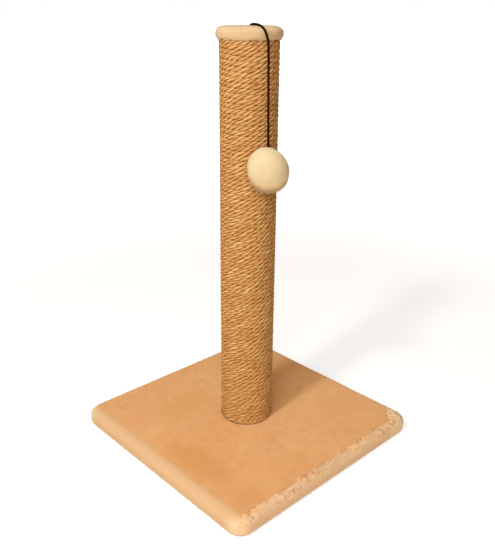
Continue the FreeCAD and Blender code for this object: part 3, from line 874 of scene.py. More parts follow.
@dataclass(frozen=True)
class Fringe:
    """Loose fibres of one kind that stand out of a plush cover."""

    name: str
    count: int
    seed: int
    shortest: float
    longest: float
    droop: float
    spread: float
    width: float = 0.35 * MM
    sunk: float = 0.3 * MM

    def plant(self, blade: Blade, cover: bpy.types.Object, chance: Callable[[np.ndarray, np.ndarray], np.ndarray],
              growth: Callable[[np.ndarray], np.ndarray] | None = None) -> bpy.types.Object:
        """Plant the fibres on a cover.

        Args:
            blade: The fibre.
            cover: The cover.
            chance: How likely a face is per area, from the faces' centres and normals.
            growth: How much longer the fibres are, from the normals.

        Returns:
            The fibres as one piece.
        """
        roots, normals, draw = planted_on(cover, self.count, chance, self.seed)
        lengths = draw.uniform(self.shortest, self.longest, len(roots)) * (growth(normals) if growth else 1) * MM
        lean = draw.normal(0, self.spread, roots.shape) + np.array([0, 0, self.droop])
        return blade.planted(self.name, roots - normals * self.sunk, normals, lean, lengths, self.width,
                             surface=normals)


# ---------------------------------------------------------------- the base

@dataclass(frozen=True)
class RoundSquare:
    """A level square loop with round corners."""

    half: float
    corner: float
    height: float

    def carried(self, place: Vector, other: "RoundSquare") -> Vector:
        """The point of another such loop that matches a point of this one."""
        centre, other_centre = self.half - self.corner, other.half - other.corner
        held = Vector([max(-centre, min(centre, value)) for value in place.xy])
        moved = held * (other_centre / centre) + (place.xy - held) * (other.corner / self.corner)
        return Vector((*moved, other.height))


@dataclass
class Base:
    """The plush cover over the base board, with its hem turned under."""

    side: float = 350.0 * MM
    corner_radius: float = 20.5 * MM
    edge_radius: float = 13.0 * MM
    foot_radius: float = 7.5 * MM
    hem_opening: float = 268.0 * MM
    hem_corner_radius: float = 15.5 * MM
    hem_thickness: float = 3.5 * MM
    cell: float = 1.75 * MM
    seat_radius: float = 37.3 * MM
    seat_slope: float = 0.8 * MM
    seat_height: float = 22.9 * MM
    patch_swell: float = 0.7 * MM
    clump_swell: float = 0.25 * MM
    finer_limits: tuple = (159.0, 300.0, 13.0)
    ruffle_limits: tuple = (163.0, 305.0, 18.0)
    edge_fibres: int = 9000
    curl_locks: int = 700
    foot_fibres: int = 1600

    def __post_init__(self) -> None:
        """Take the heights from the frame."""
        self.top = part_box("base_cover")[1].z
        self.board_low, self.board_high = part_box("base_board")
        self.flat_half = self.side / 2 - self.edge_radius
        self.corner_centre = self.side / 2 - self.corner_radius

    def round_corner(self, places: np.ndarray) -> np.ndarray:
        """Draw a square grid's corners in to the round corners of its outline."""
        radius = self.flat_half - self.corner_centre
        share = np.clip((np.abs(places[:, :2]) - self.corner_centre) / radius, 0, 1)
        drawn = share * np.sqrt(1 - share[:, ::-1] ** 2 / 2)
        inside = np.minimum(np.abs(places[:, :2]), self.corner_centre)
        result = places.copy()
        result[:, :2] = np.sign(places[:, :2]) * (inside + drawn * radius)
        return result

    def rings(self) -> list[RoundSquare]:
        """The loops from the top's edge over the side and the hem to the board's top face."""
        corner = self.flat_half - self.corner_centre
        loops = [RoundSquare(self.flat_half, corner, self.top)]

        def outset(offset: float, height: float) -> None:
            loops.append(RoundSquare(self.flat_half + offset, corner + offset, height))

        bends, downs, turns, inwards = 12, 5, 5, 14
        for angle in quarter_turn(bends):
            outset(self.edge_radius * math.sin(angle), self.top - self.edge_radius * (1 - math.cos(angle)))
        straight = self.top - self.edge_radius - self.foot_radius
        for number in range(1, downs + 1):
            outset(self.edge_radius, self.top - self.edge_radius - straight * number / downs)
        for angle in quarter_turn(turns):
            outset(self.edge_radius - self.foot_radius * (1 - math.cos(angle)),
                   self.foot_radius * (1 - math.sin(angle)))
        outer = loops[-1]
        for share in (number / inwards for number in range(1, inwards + 1)):
            loops.append(RoundSquare(outer.half + (self.hem_opening / 2 - outer.half) * share,
                                     outer.corner + (self.hem_corner_radius - outer.corner) * share, 0.0))
        loops.append(RoundSquare(self.hem_opening / 2, self.hem_corner_radius, self.hem_thickness))
        for height in (self.board_low.z, self.board_high.z):
            loops.append(RoundSquare(self.board_high.x, self.hem_corner_radius, height))
        return loops

    def cover(self, finish: PlushFinish) -> bpy.types.Object:
        """Model the cover from a grid whose edge is drawn out loop by loop."""
        cells = round(2 * self.flat_half / self.cell)
        piece = primitive(bpy.ops.mesh.primitive_grid_add, "base_plush", x_subdivisions=cells, y_subdivisions=cells,
                          size=2 * self.flat_half, location=(0, 0, self.top))
        move_vertices(piece, self.round_corner(vertex_places(piece)))
        with editing(piece) as mesh:
            select_rim(mesh)
            loops = self.rings()
            for loop, next_loop in zip(loops, loops[1:]):
                bpy.ops.mesh.extrude_region_move()
                mesh = bmesh.from_edit_mesh(piece.data)
                for vertex in mesh.verts:
                    if vertex.select:
                        vertex.co = loop.carried(vertex.co, next_loop)
            close_rim()
        self.shape_pile(piece)
        dress(piece, finish.material(), "post", "plush", "base_cover")
        return piece

    def ruffled(self, places: np.ndarray, limits: tuple) -> np.ndarray:
        """Which places lie past the limits, in mm, of the ruffled edge or its corner and of a height."""
        edge, corner, low = (value * MM for value in limits)
        return (places[:, 2] > low) & ((places[:, 1] < -edge) | (places[:, 0] - places[:, 1] > corner))

    def shape_pile(self, piece: bpy.types.Object) -> None:
        """Press the pile down under the post, and make the rest of it uneven."""
        outer_height = self.board_high.z + MM
        for reach in (10 * MM, 4 * MM, 2 * MM):
            refine(piece, lambda centres, r=reach: (centres[:, 2] > outer_height) & (
                np.abs(from_axis(centres) - self.seat_radius - self.seat_slope / 2) < r))
        refine(piece, lambda centres: self.ruffled(centres, self.finer_limits))
        places = vertex_places(piece)
        outer = places[:, 2] > outer_height
        radius = from_axis(places)
        dip = self.seat_height + (self.top - self.seat_height) * smooth_step(
            (radius - self.seat_radius) / self.seat_slope)
        places[outer, 2] = np.minimum(places[outer, 2], dip[outer])
        move_vertices(piece, places)
        edge = from_middle(places) > self.board_high.x + MM
        shown = (places[:, 2] > 4 * MM) & (outer & (radius > self.seat_radius + self.seat_slope) | edge)
        displace(piece, 60 * MM, self.patch_swell, shown)
        displace(piece, 7 * MM, self.clump_swell, shown)
        displace(piece, 4.5 * MM, 0.8 * MM, shown & self.ruffled(places, self.ruffle_limits))
        places = vertex_places(piece)
        places[:, 2] = np.maximum(places[:, 2], 0)
        move_vertices(piece, places)

    def fibres(self, blade: Blade, lock: Blade, cover: bpy.types.Object, finish: PlushFinish) -> None:
        """Plant the loose fibres: a fine fringe round all edges, curled locks along one, and some at the post."""
        half = self.side / 2
        material = finish.material(loose=True)

        def near_edge(centres: np.ndarray, normals: np.ndarray) -> np.ndarray:
            return (from_middle(centres) > half - 9 * MM) * (centres[:, 2] > 3 * MM) * (normals[:, 2] > -0.5)

        fringe = Fringe("base_edge_fibres", self.edge_fibres, 11, 0.8, 1.9, -0.3, 0.5, 0.4 * MM)
        dress(fringe.plant(blade, cover, near_edge), material, "post", "plush")

        def curled_edge(centres: np.ndarray, normals: np.ndarray) -> np.ndarray:
            band = (centres[:, 1] < -half + 13 * MM) & (centres[:, 2] > 18 * MM)
            corner = (centres[:, 0] - centres[:, 1] > 2 * half - 44 * MM) & (centres[:, 2] > 18 * MM)
            return (band * 1.0 + corner * 0.8) * (normals[:, 2] > 0.4)

        roots, normals, draw = planted_on(cover, self.curl_locks, curled_edge, 12)
        count = len(roots)
        lengths = draw.uniform(2.8, 5.0, count) * MM
        turn = draw.uniform(0, FULL_TURN, count)
        level = unit(np.cross(normals, np.array([0.3, 0.2, 1.0])))
        other = np.cross(normals, level)
        side = level * np.cos(turn)[:, None] + other * np.sin(turn)[:, None]
        aside = np.cross(normals, side) * draw.choice([-1.0, 1.0], count)[:, None]
        lean = 0.9 * aside - 0.2 * side
        hook = -0.7 * side - 0.2 * normals + 0.2 * aside
        locks = lock.planted("base_curls", roots - normals * 0.3 * MM, unit(0.3 * normals + 0.9 * side), lean,
                             lengths, 0.9 * MM, hook, normals)
        dress(locks, material, "post", "plush")

        def round_post(centres: np.ndarray, normals: np.ndarray) -> np.ndarray:
            radius = from_axis(centres)
            high = centres[:, 2] > self.seat_height + 2.5 * MM
            return high * (radius > self.seat_radius + 0.6 * MM) * (radius < self.seat_radius + 3.0 * MM)

        roots, normals, draw = planted_on(cover, self.foot_fibres, round_post, 13)
        inwards = -unit(roots * np.array([1, 1, 0]))
        lengths = draw.uniform(0.6, 1.4, len(roots)) * MM
        upright = np.broadcast_to(np.array([0.0, 0.0, 1.0]), roots.shape)
        lean = 0.3 * inwards + draw.normal(0, 0.35, roots.shape)
        foot = blade.planted("post_foot_fibres", roots - upright * 0.4 * MM, upright, lean, lengths, 0.4 * MM,
                             surface=upright)
        dress(foot, material, "post", "plush")


# ---------------------------------------------------------------- rope and cords

@dataclass
class Route:
    """A smooth line through space, on which rope and cord are laid."""

    name: str
    points: Sequence[Sequence[float]]
    resolution: int = 12

    def curve(self, kind: str = "NURBS", **settings: object) -> bpy.types.Object:
        """The line as a curve with the route's points as its control points.

        Args:
            kind: The spline's type.
            **settings: The curve's own settings.

        Returns:
            The curve.
        """
        data = bpy.data.curves.new(self.name, "CURVE")
        spline = data.splines.new(kind)
        spline.points.add(len(self.points) - 1)
        spline.points.foreach_set("co", [value for point in self.points for value in (*point, 1.0)])
        spline.order_u = 3
        spline.use_endpoint_u = True
        path = {"dimensions": "3D", "resolution_u": self.resolution, "twist_mode": "Z_UP", "use_path": True}
        for name, value in (path | settings).items():
            setattr(data, name, value)
        return linked(self.name, data)

    def line(self) -> np.ndarray:
        """Points read along the smooth line."""
        curve = self.curve()
        mesh = bpy.data.meshes.new_from_object(curve)
        places = np.array([vertex.co for vertex in mesh.vertices], float)
        bpy.data.objects.remove(curve)
        bpy.data.meshes.remove(mesh)
        return places

    def length(self) -> float:
        """The smooth line's length."""
        return float(np.linalg.norm(np.diff(self.line(), axis=0), axis=1).sum())

    def lay(self, piece: bpy.types.Object) -> None:
        """Bend a straight piece that stands on the origin along +Z onto the line."""
        curve = self.curve()
        apply_modifier(piece, "CURVE", object=curve, deform_axis="POS_Z")
        bpy.data.objects.remove(curve)


@dataclass
class Rope:
    """Sisal rope of three strands, wound up the post in two lengths."""

    pitch: float = 6.25 * MM
    axis_radius: float = 35.15 * MM
    strand_radius: float = 1.85 * MM
    strand_offset: float = 1.8 * MM
    flat_from: float = 1.8 * MM
    flattening: float = 0.62
    spreading: float = 1.07
    uneven_twist: tuple = ((0.34, 131.0), (0.24, 53.0), (0.14, 21.0))
    splice_gap: float = 0.012
    sides: int = 9
    steps_per_lay: int = 15
    points_per_turn: int = 36
    splice_height: float = 97.0 * MM
    splice_bearing: float = math.radians(-73)
    strands_per_turn: tuple = (25.72, 25.84, 25.9, 25.97, 26.05)
    nicks: tuple = ((-133.6, 83.4), (-154, 248.4), (-100, 330), (-75, 480), (-170, 420), (10, 200), (60, 350),
                    (120, 150), (-45, 260), (150, 500), (-120, 515))
    nick_radius: float = 2.2 * MM
    nick_depth: float = 3.0 * MM
    fuzz_fibres: int = 4200
    staple_turns: tuple = (0.04, 0.1)
    staple_crown: float = 10.0 * MM
    staple_wire: float = 0.9 * MM
    staple_top: float = 1.005
    staple_leg: float = 0.83

    def __post_init__(self) -> None:
        """Take the rope's ends from the frame."""
        low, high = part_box("rope_lower_length")[0].z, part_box("rope_upper_length_4")[1].z
        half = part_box("rope_upper_length_1")[0].z - self.splice_height
        self.first_turn = (low - half - self.splice_height) / self.pitch
        self.top_height = high + half + 2.2 * MM
        self.last_turn = (high + half - self.splice_height) / self.pitch
        self.laid = 0.0

    def centres(self, turns: np.ndarray) -> np.ndarray:
        """The rope's middle some turns above the joint of its lengths: a little uneven, and level at the top."""
        angle = self.splice_bearing - FULL_TURN * turns
        level = self.last_turn - 0.5
        rising = (self.top_height - self.splice_height) / level
        soft = 0.12
        over = soft * np.logaddexp(0, (turns - level) / soft)
        height = np.where(turns < 0, self.pitch * turns, rising * (turns - over))
        uneven = (0.24 * np.sin(2 * angle + 0.21 * turns) + 0.16 * np.sin(5 * angle - 0.37 * turns)) * MM
        return np.stack([self.axis_radius * np.cos(angle), self.axis_radius * np.sin(angle),
                         self.splice_height + height + uneven * np.clip(level - turns, 0, 1)], axis=-1)

    def route(self, name: str, first: float, last: float) -> Route:
        """The line of one stretch, with its control points set out so that the curve has the true radius."""
        count = max(4, round((last - first) * self.points_per_turn))
        points = self.centres(np.linspace(first, last, count + 1))
        points[:, :2] /= math.cos(math.pi / self.points_per_turn)
        return Route(name, points.tolist(), 3)

    def straight(self, name: str, length: float, lays: float, lays_before: float) -> bpy.types.Object:
        """The rope laid out straight along +Z: three rings, drawn out and turned.

        Args:
            name: The piece's name.
            length: Its length.
            lays: How many times it is twisted round.
            lays_before: How many times the rope before it is, for the twist to run on.

        Returns:
            The piece.
        """
        piece = primitive(bpy.ops.mesh.primitive_circle_add, name, vertices=self.sides, radius=self.strand_radius,
                          location=(self.strand_offset, 0, 0))
        with editing(piece):
            bpy.ops.mesh.select_all(action="SELECT")
            for _ in range(2):
                bpy.ops.mesh.duplicate()
                bpy.ops.transform.rotate(value=FULL_TURN / 3, orient_axis="Z", center_override=(0, 0, 0))
        piece.data.transform(Matrix.Rotation(-FULL_TURN * lays_before, 4, "Z"))
        steps = round(lays * self.steps_per_lay)
        apply_modifier(piece, "SCREW", axis="Z", angle=-FULL_TURN * lays, screw_offset=length, steps=steps,
                       render_steps=steps, use_smooth_shade=True, use_merge_vertices=False)
        with editing(piece) as mesh:
            select_rim(mesh)
            close_rim()
        self.store_strands(piece, length / lays, lays_before)
        places = vertex_places(piece)
        along = places[:, 2] + self.laid
        turn = sum(share * np.sin(FULL_TURN * along / (wave * MM) + wave) for share, wave in self.uneven_twist)
        move_vertices(piece, turned(places, turn))
        return piece

    def store_strands(self, piece: bpy.types.Object, lay: float, lays_before: float) -> None:
        """Keep each point's untwisted place, and how far it lies out of the grooves between the strands, by which the
        grooves are painted darker as shade.
        """
        places = vertex_places(piece)
        angle = FULL_TURN * (places[:, 2] / lay + lays_before)
        untwisted = turned(places, angle)
        untwisted[:, 2] = angle * lay / FULL_TURN
        store_values(piece, "strand_place", untwisted)
        # Painted shade: 0 deep in the grooves, 1 on the crests.
        store_values(piece, "groove", smooth_step((from_axis(places) - 1.9 * MM) / (1.3 * MM)))

    def press(self, piece: bpy.types.Object, turns: np.ndarray) -> None:
        """Press the wound rope flat against the tube, part the two lengths' ends, and sink it at a few nicks.

        Args:
            piece: One wound stretch.
            turns: For each vertex, how many turns above the joint it lies.
        """
        places = vertex_places(piece)
        middles = self.centres(turns)
        places[:, 2] = middles[:, 2] + (places[:, 2] - middles[:, 2]) * self.spreading
        radius = from_axis(places)
        standing = radius - self.axis_radius
        pressed = radius - np.maximum(standing - self.flat_from, 0) * (1 - self.flattening)
        pressed += 0.7 * MM * smooth_step(1 + turns / 0.03) * (turns < 0)
        pressed -= 1.3 * MM * smooth_step(1 - turns / 0.03) * (turns >= 0)
        for bearing, height in self.nicks:
            angle = math.radians(bearing)
            centre = np.array([38 * math.cos(angle), 38 * math.sin(angle), height]) * MM
            reach = np.linalg.norm(places - centre, axis=1) / self.nick_radius
            pressed -= self.nick_depth * (1 - smooth_step(reach))
        places[:, :2] *= (pressed / radius)[:, None]
        move_vertices(piece, places)

    def wind(self, finish: TwistFinish) -> None:
        """Wind every stretch that the frame has as a node."""
        material = finish.material()
        upper = sorted(name for name in frame["nodes"] if name.startswith("rope_upper_length"))
        stretches = [("sisal_lower_length", "rope_lower_length", self.first_turn, -self.splice_gap)]
        for number, node in enumerate(upper):
            ends = [self.last_turn * share / len(upper) for share in (number, number + 1)]
            stretches.append((f"sisal_upper_length_{number + 1}", node, *ends))
        lays_before = 0.0
        for (name, node, first, last), strands in zip(stretches, self.strands_per_turn):
            lays = strands * (last - first) / 3
            route = self.route(f"{name}_line", first, last)
            piece = self.straight(name, route.length(), lays, lays_before)
            turns = first + (last - first) * vertex_places(piece)[:, 2] / route.length()
            lays_before += lays
            self.laid += route.length()
            route.lay(piece)
            self.press(piece, turns)
            displace(piece, 9 * MM, 0.6 * MM)
            displace(piece, 2.4 * MM, 0.4 * MM)
            finish_piece(piece, name)
            dress(piece, material, "post", "sisal", node)

    def staples(self, finish: MetalFinish) -> None:
        """Drive the staples at the rope's ends in among the strands."""
        pieces = []
        for pin in self.staple_turns:
            for turns in (self.first_turn + pin, -pin, pin, self.last_turn - pin):
                half = self.staple_crown / (2 * FULL_TURN * self.axis_radius)
                ends = self.centres(np.array([turns - half, turns + half]))
                shares = (self.staple_leg, self.staple_top, self.staple_top, self.staple_leg)
                points = [end * np.array([share, share, 1.0]) for end, share in zip(ends[[0, 0, 1, 1]], shares)]
                staple = Route("staple", points).curve("POLY", bevel_depth=self.staple_wire / 2, bevel_resolution=1,
                                                       use_fill_caps=True, twist_mode="MINIMUM")
                make_active(staple)
                bpy.ops.object.convert(target="MESH")
                pieces.append(staple)
        for staple in pieces:
            staple.select_set(True)
        bpy.context.view_layer.objects.active = pieces[0]
        bpy.ops.object.join()
        finish_piece(pieces[0], "sunk_staples")
        dress(pieces[0], finish.material(), "post", "zinc_steel", "rope_staples")

    def fuzz(self, blade: Blade, finish: FibreFinish) -> None:
        """Plant stray sisal fibres over the whole winding."""
        draw = np.random.default_rng(21)
        turns = draw.uniform(self.first_turn, self.last_turn, self.fuzz_fibres)
        count = len(turns)
        angle = self.splice_bearing - FULL_TURN * turns
        outwards = outwards_at(angle)
        forwards = outwards[:, [1, 0, 2]] * np.array([1, -1, 1])
        roots = self.centres(turns) + outwards * 2.5 * MM
        roots[:, 2] += draw.uniform(-1.6, 1.6, count) * MM
        way = draw.choice([-1.0, 1.0], count)[:, None]
        out = unit(forwards * way + outwards * draw.uniform(0.1, 0.4, count)[:, None]
                   - np.array([0, 0, 1]) * draw.normal(0.5, 0.3, count)[:, None] * way)
        lean = draw.normal(0, 0.3, out.shape) - outwards * 0.2
        lengths = draw.uniform(3.0, 7.0, count) * MM
        piece = blade.planted("sisal_fuzz", roots, out, lean, lengths, 0.16 * MM, surface=outwards)
        dress(piece, finish.material(), "post", "sisal")


@dataclass
class Toy:
    """The ball and its cord."""

    cord_diameter: float = 2.8 * MM
    edge_radius: float = 43.9 * MM
    edge_bearing: float = math.radians(-106)
    edge_drop: float = 10.5 * MM
    hanging_length: float = 137.0 * MM
    ball_width: float = 53.0 * MM
    ball_height: float = 55.0 * MM
    ball_cover: float = 4.0 * MM
    ball_fibres: int = 5000
    route_over_cap: tuple = ((2.5, -9, -1.0), (8.5, -9, 1.0), (18.0, -7.5, 1.4), (27.0, -6.5, 1.0),
                             (34.5, -6, 0.2), (40.0, -4, -2.1), (43.3, -1.5, -6.1))
    hanging_bow: tuple = ((3, 1.2), (10, 2.1), (60, 1.2), (122, 0.1))
    lobes: tuple = (((0.451, -0.426, -0.78), 0.05), ((0.509, -0.48, 0.71), -0.08), ((-0.5, 0.48, 0.71), 0.04))

    def __post_init__(self) -> None:
        """Take the cap's top and the ball's middle from the frame."""
        self.cap_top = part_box("cap_cover")[1].z
        self.knot_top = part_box("cap_knot")[1].z
        low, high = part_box("ball_cover")
        self.middle = (low + high) / 2
        self.edge = self.polar(self.edge_radius, 0, -self.edge_drop)
        self.down = (self.middle - self.edge).normalized()

    def polar(self, radius: float, turn: float, height: float) -> Vector:
        """A point by its radius, its bearing from the edge point's in degrees, and its height over the cap."""
        angle = self.edge_bearing + math.radians(turn)
        return Vector((radius * math.cos(angle), radius * math.sin(angle), self.cap_top + height))

    def straight_cord(self, name: str, length: float) -> bpy.types.Object:
        """A braided cord laid out straight along +Z."""
        rings = round(length / (0.7 * MM))
        piece = primitive(bpy.ops.mesh.primitive_cylinder_add, name, vertices=16, radius=self.cord_diameter / 2,
                          depth=length, location=(0, 0, length / 2), end_fill_type="NGON")
        with editing(piece) as mesh:
            bpy.ops.mesh.select_all(action="DESELECT")
            for edge in mesh.edges:
                edge.select_set(abs(edge.verts[0].co.z - edge.verts[1].co.z) > length / 2)
            bpy.ops.mesh.subdivide_edgering(number_cuts=rings - 1)
        places = vertex_places(piece)
        angle = np.arctan2(places[:, 1], places[:, 0])
        lay = FULL_TURN * places[:, 2] / (5.6 * MM)
        braid = np.sin(4 * angle + lay) * np.sin(4 * angle - lay)
        store_values(piece, "strand_place", places.copy())
        # Painted shade: the braid's sunken parts are coloured darker.
        store_values(piece, "groove", 0.4 + 0.6 * smooth_step(0.5 + 0.5 * braid))
        places[:, :2] *= (1 + 0.06 * braid)[:, None]
        move_vertices(piece, places)
        return piece

    def cords(self, finish: TwistFinish) -> np.ndarray:
        """Lay the cord over the cap and hang it down to the ball.

        Args:
            finish: The cord's finish.

        Returns:
            Points along the middle of the cord over the cap.
        """
        material = finish.material()
        start = Vector((0, 0, self.knot_top))
        over = Route("cord_over_line", [start, *(self.polar(r * MM, turn, height * MM)
                                                 for r, turn, height in self.route_over_cap), self.edge])
        piece = self.straight_cord("cord_over_plush", over.length())
        over.lay(piece)
        finish_piece(piece, "cord_over_plush")
        dress(piece, material, "post", "cord", "cord_over_cap")
        over.length()
        [tuple(place) for place in over.line()]

        ends = (self.edge, self.edge + self.down * self.hanging_length)
        aside = self.down.cross(Vector((0.6865, 0.7272, 0))).normalized()
        bowed = [self.edge + self.down * drop * MM + aside * bow * MM for drop, bow in self.hanging_bow]
        hang = Route("cord_hanging_line", [ends[0], *bowed, ends[1]])
        piece = self.straight_cord("cord_to_ball", hang.length())
        hang.lay(piece)
        finish_piece(piece, "cord_to_ball")
        piece.data.materials.clear()
        piece.data.materials.append(material)
        tuple(ends[0])
        tuple(ends[0].lerp(ends[1], 0.9))
        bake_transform(piece)
        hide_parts("cord_hanging")
        tuple(self.edge)
        hang.length()
        [tuple(place) for place in hang.line()]
        LOG.info("cord over the cap %.1f mm, hanging %.1f mm", over.length() / MM, hang.length() / MM)
        return over.line()

    def lumpy_ball(self, name: str, shrink: float, lump: float, detail: int) -> bpy.types.Object:
        """A stuffed ball, a little out of round, upright along its cord."""
        piece = primitive(bpy.ops.mesh.primitive_ico_sphere_add, name, subdivisions=detail, radius=1)
        places = vertex_places(piece)
        turn = np.array((-self.down).to_track_quat("Z", "Y").to_matrix())
        aims = places @ turn.T
        width, height = self.ball_width / 2 - shrink, self.ball_height / 2 - shrink
        places = (places * np.array([width, width, height])) @ turn.T
        for aim, swell in self.lobes:
            nearness = np.clip(aims @ np.array(aim), 0, 1) ** 2.0
            places *= (1 + swell * nearness)[:, None]
        move_vertices(piece, places + np.array(self.middle))
        displace(piece, 18 * MM, lump)
        return piece

    def ball(self, blade: Blade, cover: PlushFinish, filling: PlushFinish) -> None:
        """Model the ball's plush, its loose fibres and its stuffing."""
        plush = self.lumpy_ball("ball_plush", 0.7 * MM, 1.0 * MM, 6)
        displace(plush, 4 * MM, 0.3 * MM)
        finish_piece(plush, "ball_plush")
        dress(plush, cover.material(), "ball", "ball_plush", "ball_cover")
        stuffing = self.lumpy_ball("ball_fill", self.ball_cover + 1 * MM, 1.5 * MM, 4)
        finish_piece(stuffing, "ball_fill")
        dress(stuffing, filling.material(), "ball", "stuffing", "ball_stuffing")

        def everywhere(centres: np.ndarray, normals: np.ndarray) -> np.ndarray:
            return 1.0 + 2.0 * smooth_step(-normals[:, 2])

        fringe = Fringe("ball_fibres", self.ball_fibres, 31, 0.7, 1.4, -0.4, 0.35, sunk=0.4 * MM)
        piece = fringe.plant(blade, plush, everywhere, lambda normals: 1 + 1.3 * smooth_step(-normals[:, 2]))
        dress(piece, cover.material(loose=True), "ball", "ball_plush")


@dataclass
class Cap:
    """The plush-covered disc on the post's head."""

    diameter: float = 83.2 * MM
    edge_radius: float = 10.0 * MM
    lip_radius: float = 38.4 * MM
    lip_drop: float = -2.4 * MM
    inner_radius: float = 32.4 * MM
    sinking: float = 0.4 * MM
    crown: float = 0.8 * MM
    steps: int = 240
    side_fibres: int = 5200
    under_fibres: int = 3200

    def __post_init__(self) -> None:
        """Take the heights from the frame."""
        self.bottom, self.top = (corner.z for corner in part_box("cap_cover"))
        self.disc_low, self.disc_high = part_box("cap_disc")

    def profile(self) -> list[tuple[float, float]]:
        """The cover's section as radius and height: over the top, round the edge and in under the disc."""
        radius = self.diameter / 2
        rim = radius - self.edge_radius
        top = self.top - self.sinking
        flat, bends, downs = 26, 13, 11
        points = [(rim * n / flat, top - self.crown * (n / flat) ** 2) for n in range(flat + 1)]
        shoulder = self.edge_radius - self.crown - self.sinking - 1.2 * MM
        for angle in quarter_turn(bends):
            points.append((rim + self.edge_radius * math.sin(angle),
                           top - self.crown - shoulder * (1 - math.cos(angle))))
        lip = self.bottom - self.lip_drop
        low = points[-1][1]
        for angle in quarter_turn(downs):
            points.append((radius - (radius - self.lip_radius) * (1 - math.cos(angle)),
                           low - (low - lip) * math.sin(angle)))
        disc_edge = self.disc_high.x
        return points + [(self.lip_radius - MM, lip), (self.lip_radius - 2 * MM, lip), (self.inner_radius + MM, lip),
                         (self.inner_radius, lip + MM), (self.inner_radius, self.disc_low.z),
                         (disc_edge, self.disc_low.z), (disc_edge, self.disc_high.z), (0.0, self.disc_high.z)]

    def dent(self, piece: bpy.types.Object, line: np.ndarray, room: float) -> None:
        """Press the pile down under the cord.

        Args:
            piece: The cover.
            line: Points along the middle of the cord.
            room: How far the pile stays from the cord's middle.
        """
        places = vertex_places(piece)
        for number in np.nonzero(places[:, 2] > self.disc_high.z)[0]:
            away = places[number] - line
            reach = np.linalg.norm(away, axis=1)
            nearest = reach.argmin()
            if reach[nearest] < room:
                push = line[nearest] * np.array([1, 1, 0])
                inwards = np.array([0, 0, -1.0]) - 0.8 * push / (np.linalg.norm(push) + MM)
                places[number] += inwards / np.linalg.norm(inwards) * (room - reach[nearest])
        move_vertices(piece, places)

    def cover(self, finish: PlushFinish, cord_line: np.ndarray) -> bpy.types.Object:
        """Turn the section round the post's axis, and make its pile uneven."""
        points = self.profile()
        piece = primitive(bpy.ops.mesh.primitive_grid_add, "cap_plush", x_subdivisions=1, y_subdivisions=1, size=1)
        with editing(piece):
            bpy.ops.mesh.select_mode(type="VERT")
            bpy.ops.mesh.select_all(action="SELECT")
            bpy.ops.mesh.merge(type="CENTER")
            mesh = bmesh.from_edit_mesh(piece.data)
            for vertex in mesh.verts:
                vertex.co = (points[0][0], 0, points[0][1])
            for (radius, height), (next_radius, next_height) in zip(points, points[1:]):
                move = (next_radius - radius, 0, next_height - height)
                bpy.ops.mesh.extrude_region_move(TRANSFORM_OT_translate={"value": move})
        apply_modifier(piece, "SCREW", axis="Z", angle=FULL_TURN, screw_offset=0, steps=self.steps,
                       render_steps=self.steps, use_merge_vertices=True, merge_threshold=0.01 * MM,
                       use_smooth_shade=True)
        with editing(piece):
            bpy.ops.mesh.select_all(action="SELECT")
            bpy.ops.mesh.remove_doubles(threshold=0.01 * MM)
            bpy.ops.mesh.normals_make_consistent(inside=False)
        places = vertex_places(piece)
        shown = (places[:, 2] > self.disc_high.z + MM) | (from_axis(places) > self.disc_high.x + MM)
        displace(piece, 25 * MM, 0.8 * MM, shown)
        displace(piece, 5 * MM, 0.3 * MM, shown)
        self.dent(piece, cord_line, 1.5 * MM)
        finish_piece(piece, "cap_plush")
        dress(piece, finish.material(), "post", "cap_plush", "cap_cover")
        return piece

    def fibres(self, blade: Blade, cover: bpy.types.Object, finish: PlushFinish) -> None:
        """Plant fine fibres over the cap, and longer ones under its edge over the first turn of rope."""
        material = finish.material(loose=True)

        def outside(centres: np.ndarray, normals: np.ndarray) -> np.ndarray:
            radius = from_axis(centres)
            return (radius > 25 * MM) * (normals[:, 2] > -0.5) * (radius > self.lip_radius - 14 * MM) * 1.0

        fringe = Fringe("cap_fibres", self.side_fibres, 41, 0.7, 1.5, -0.5, 0.4)
        dress(fringe.plant(blade, cover, outside), material, "post", "cap_plush")

        draw = np.random.default_rng(42)
        angle = draw.uniform(0, FULL_TURN, self.under_fibres)
        count = len(angle)
        outwards = outwards_at(angle)
        start = draw.uniform(0, 1, count)
        height = self.bottom - self.lip_drop + (0.8 + 3.2 * start) * MM
        radius = self.lip_radius + (0.6 + 1.5 * start) * MM
        roots = outwards * radius[:, None] + np.array([0, 0, 1.0]) * height[:, None]
        down = unit(np.array([0, 0, -1.0]) - outwards * (0.1 + 0.35 * start)[:, None])
        lengths = (1.3 + 2.6 * start + 0.8 * np.sin(23 * angle) * np.sin(7 * angle) + draw.random(count)) * MM
        lean = draw.normal(0, 0.2, roots.shape) - outwards * 0.05
        piece = blade.planted("cap_hem_fibres", roots, down, lean, lengths, 0.7 * MM, surface=outwards)
        dress(piece, material, "post", "cap_plush")


# ---------------------------------------------------------------- what the frame keeps

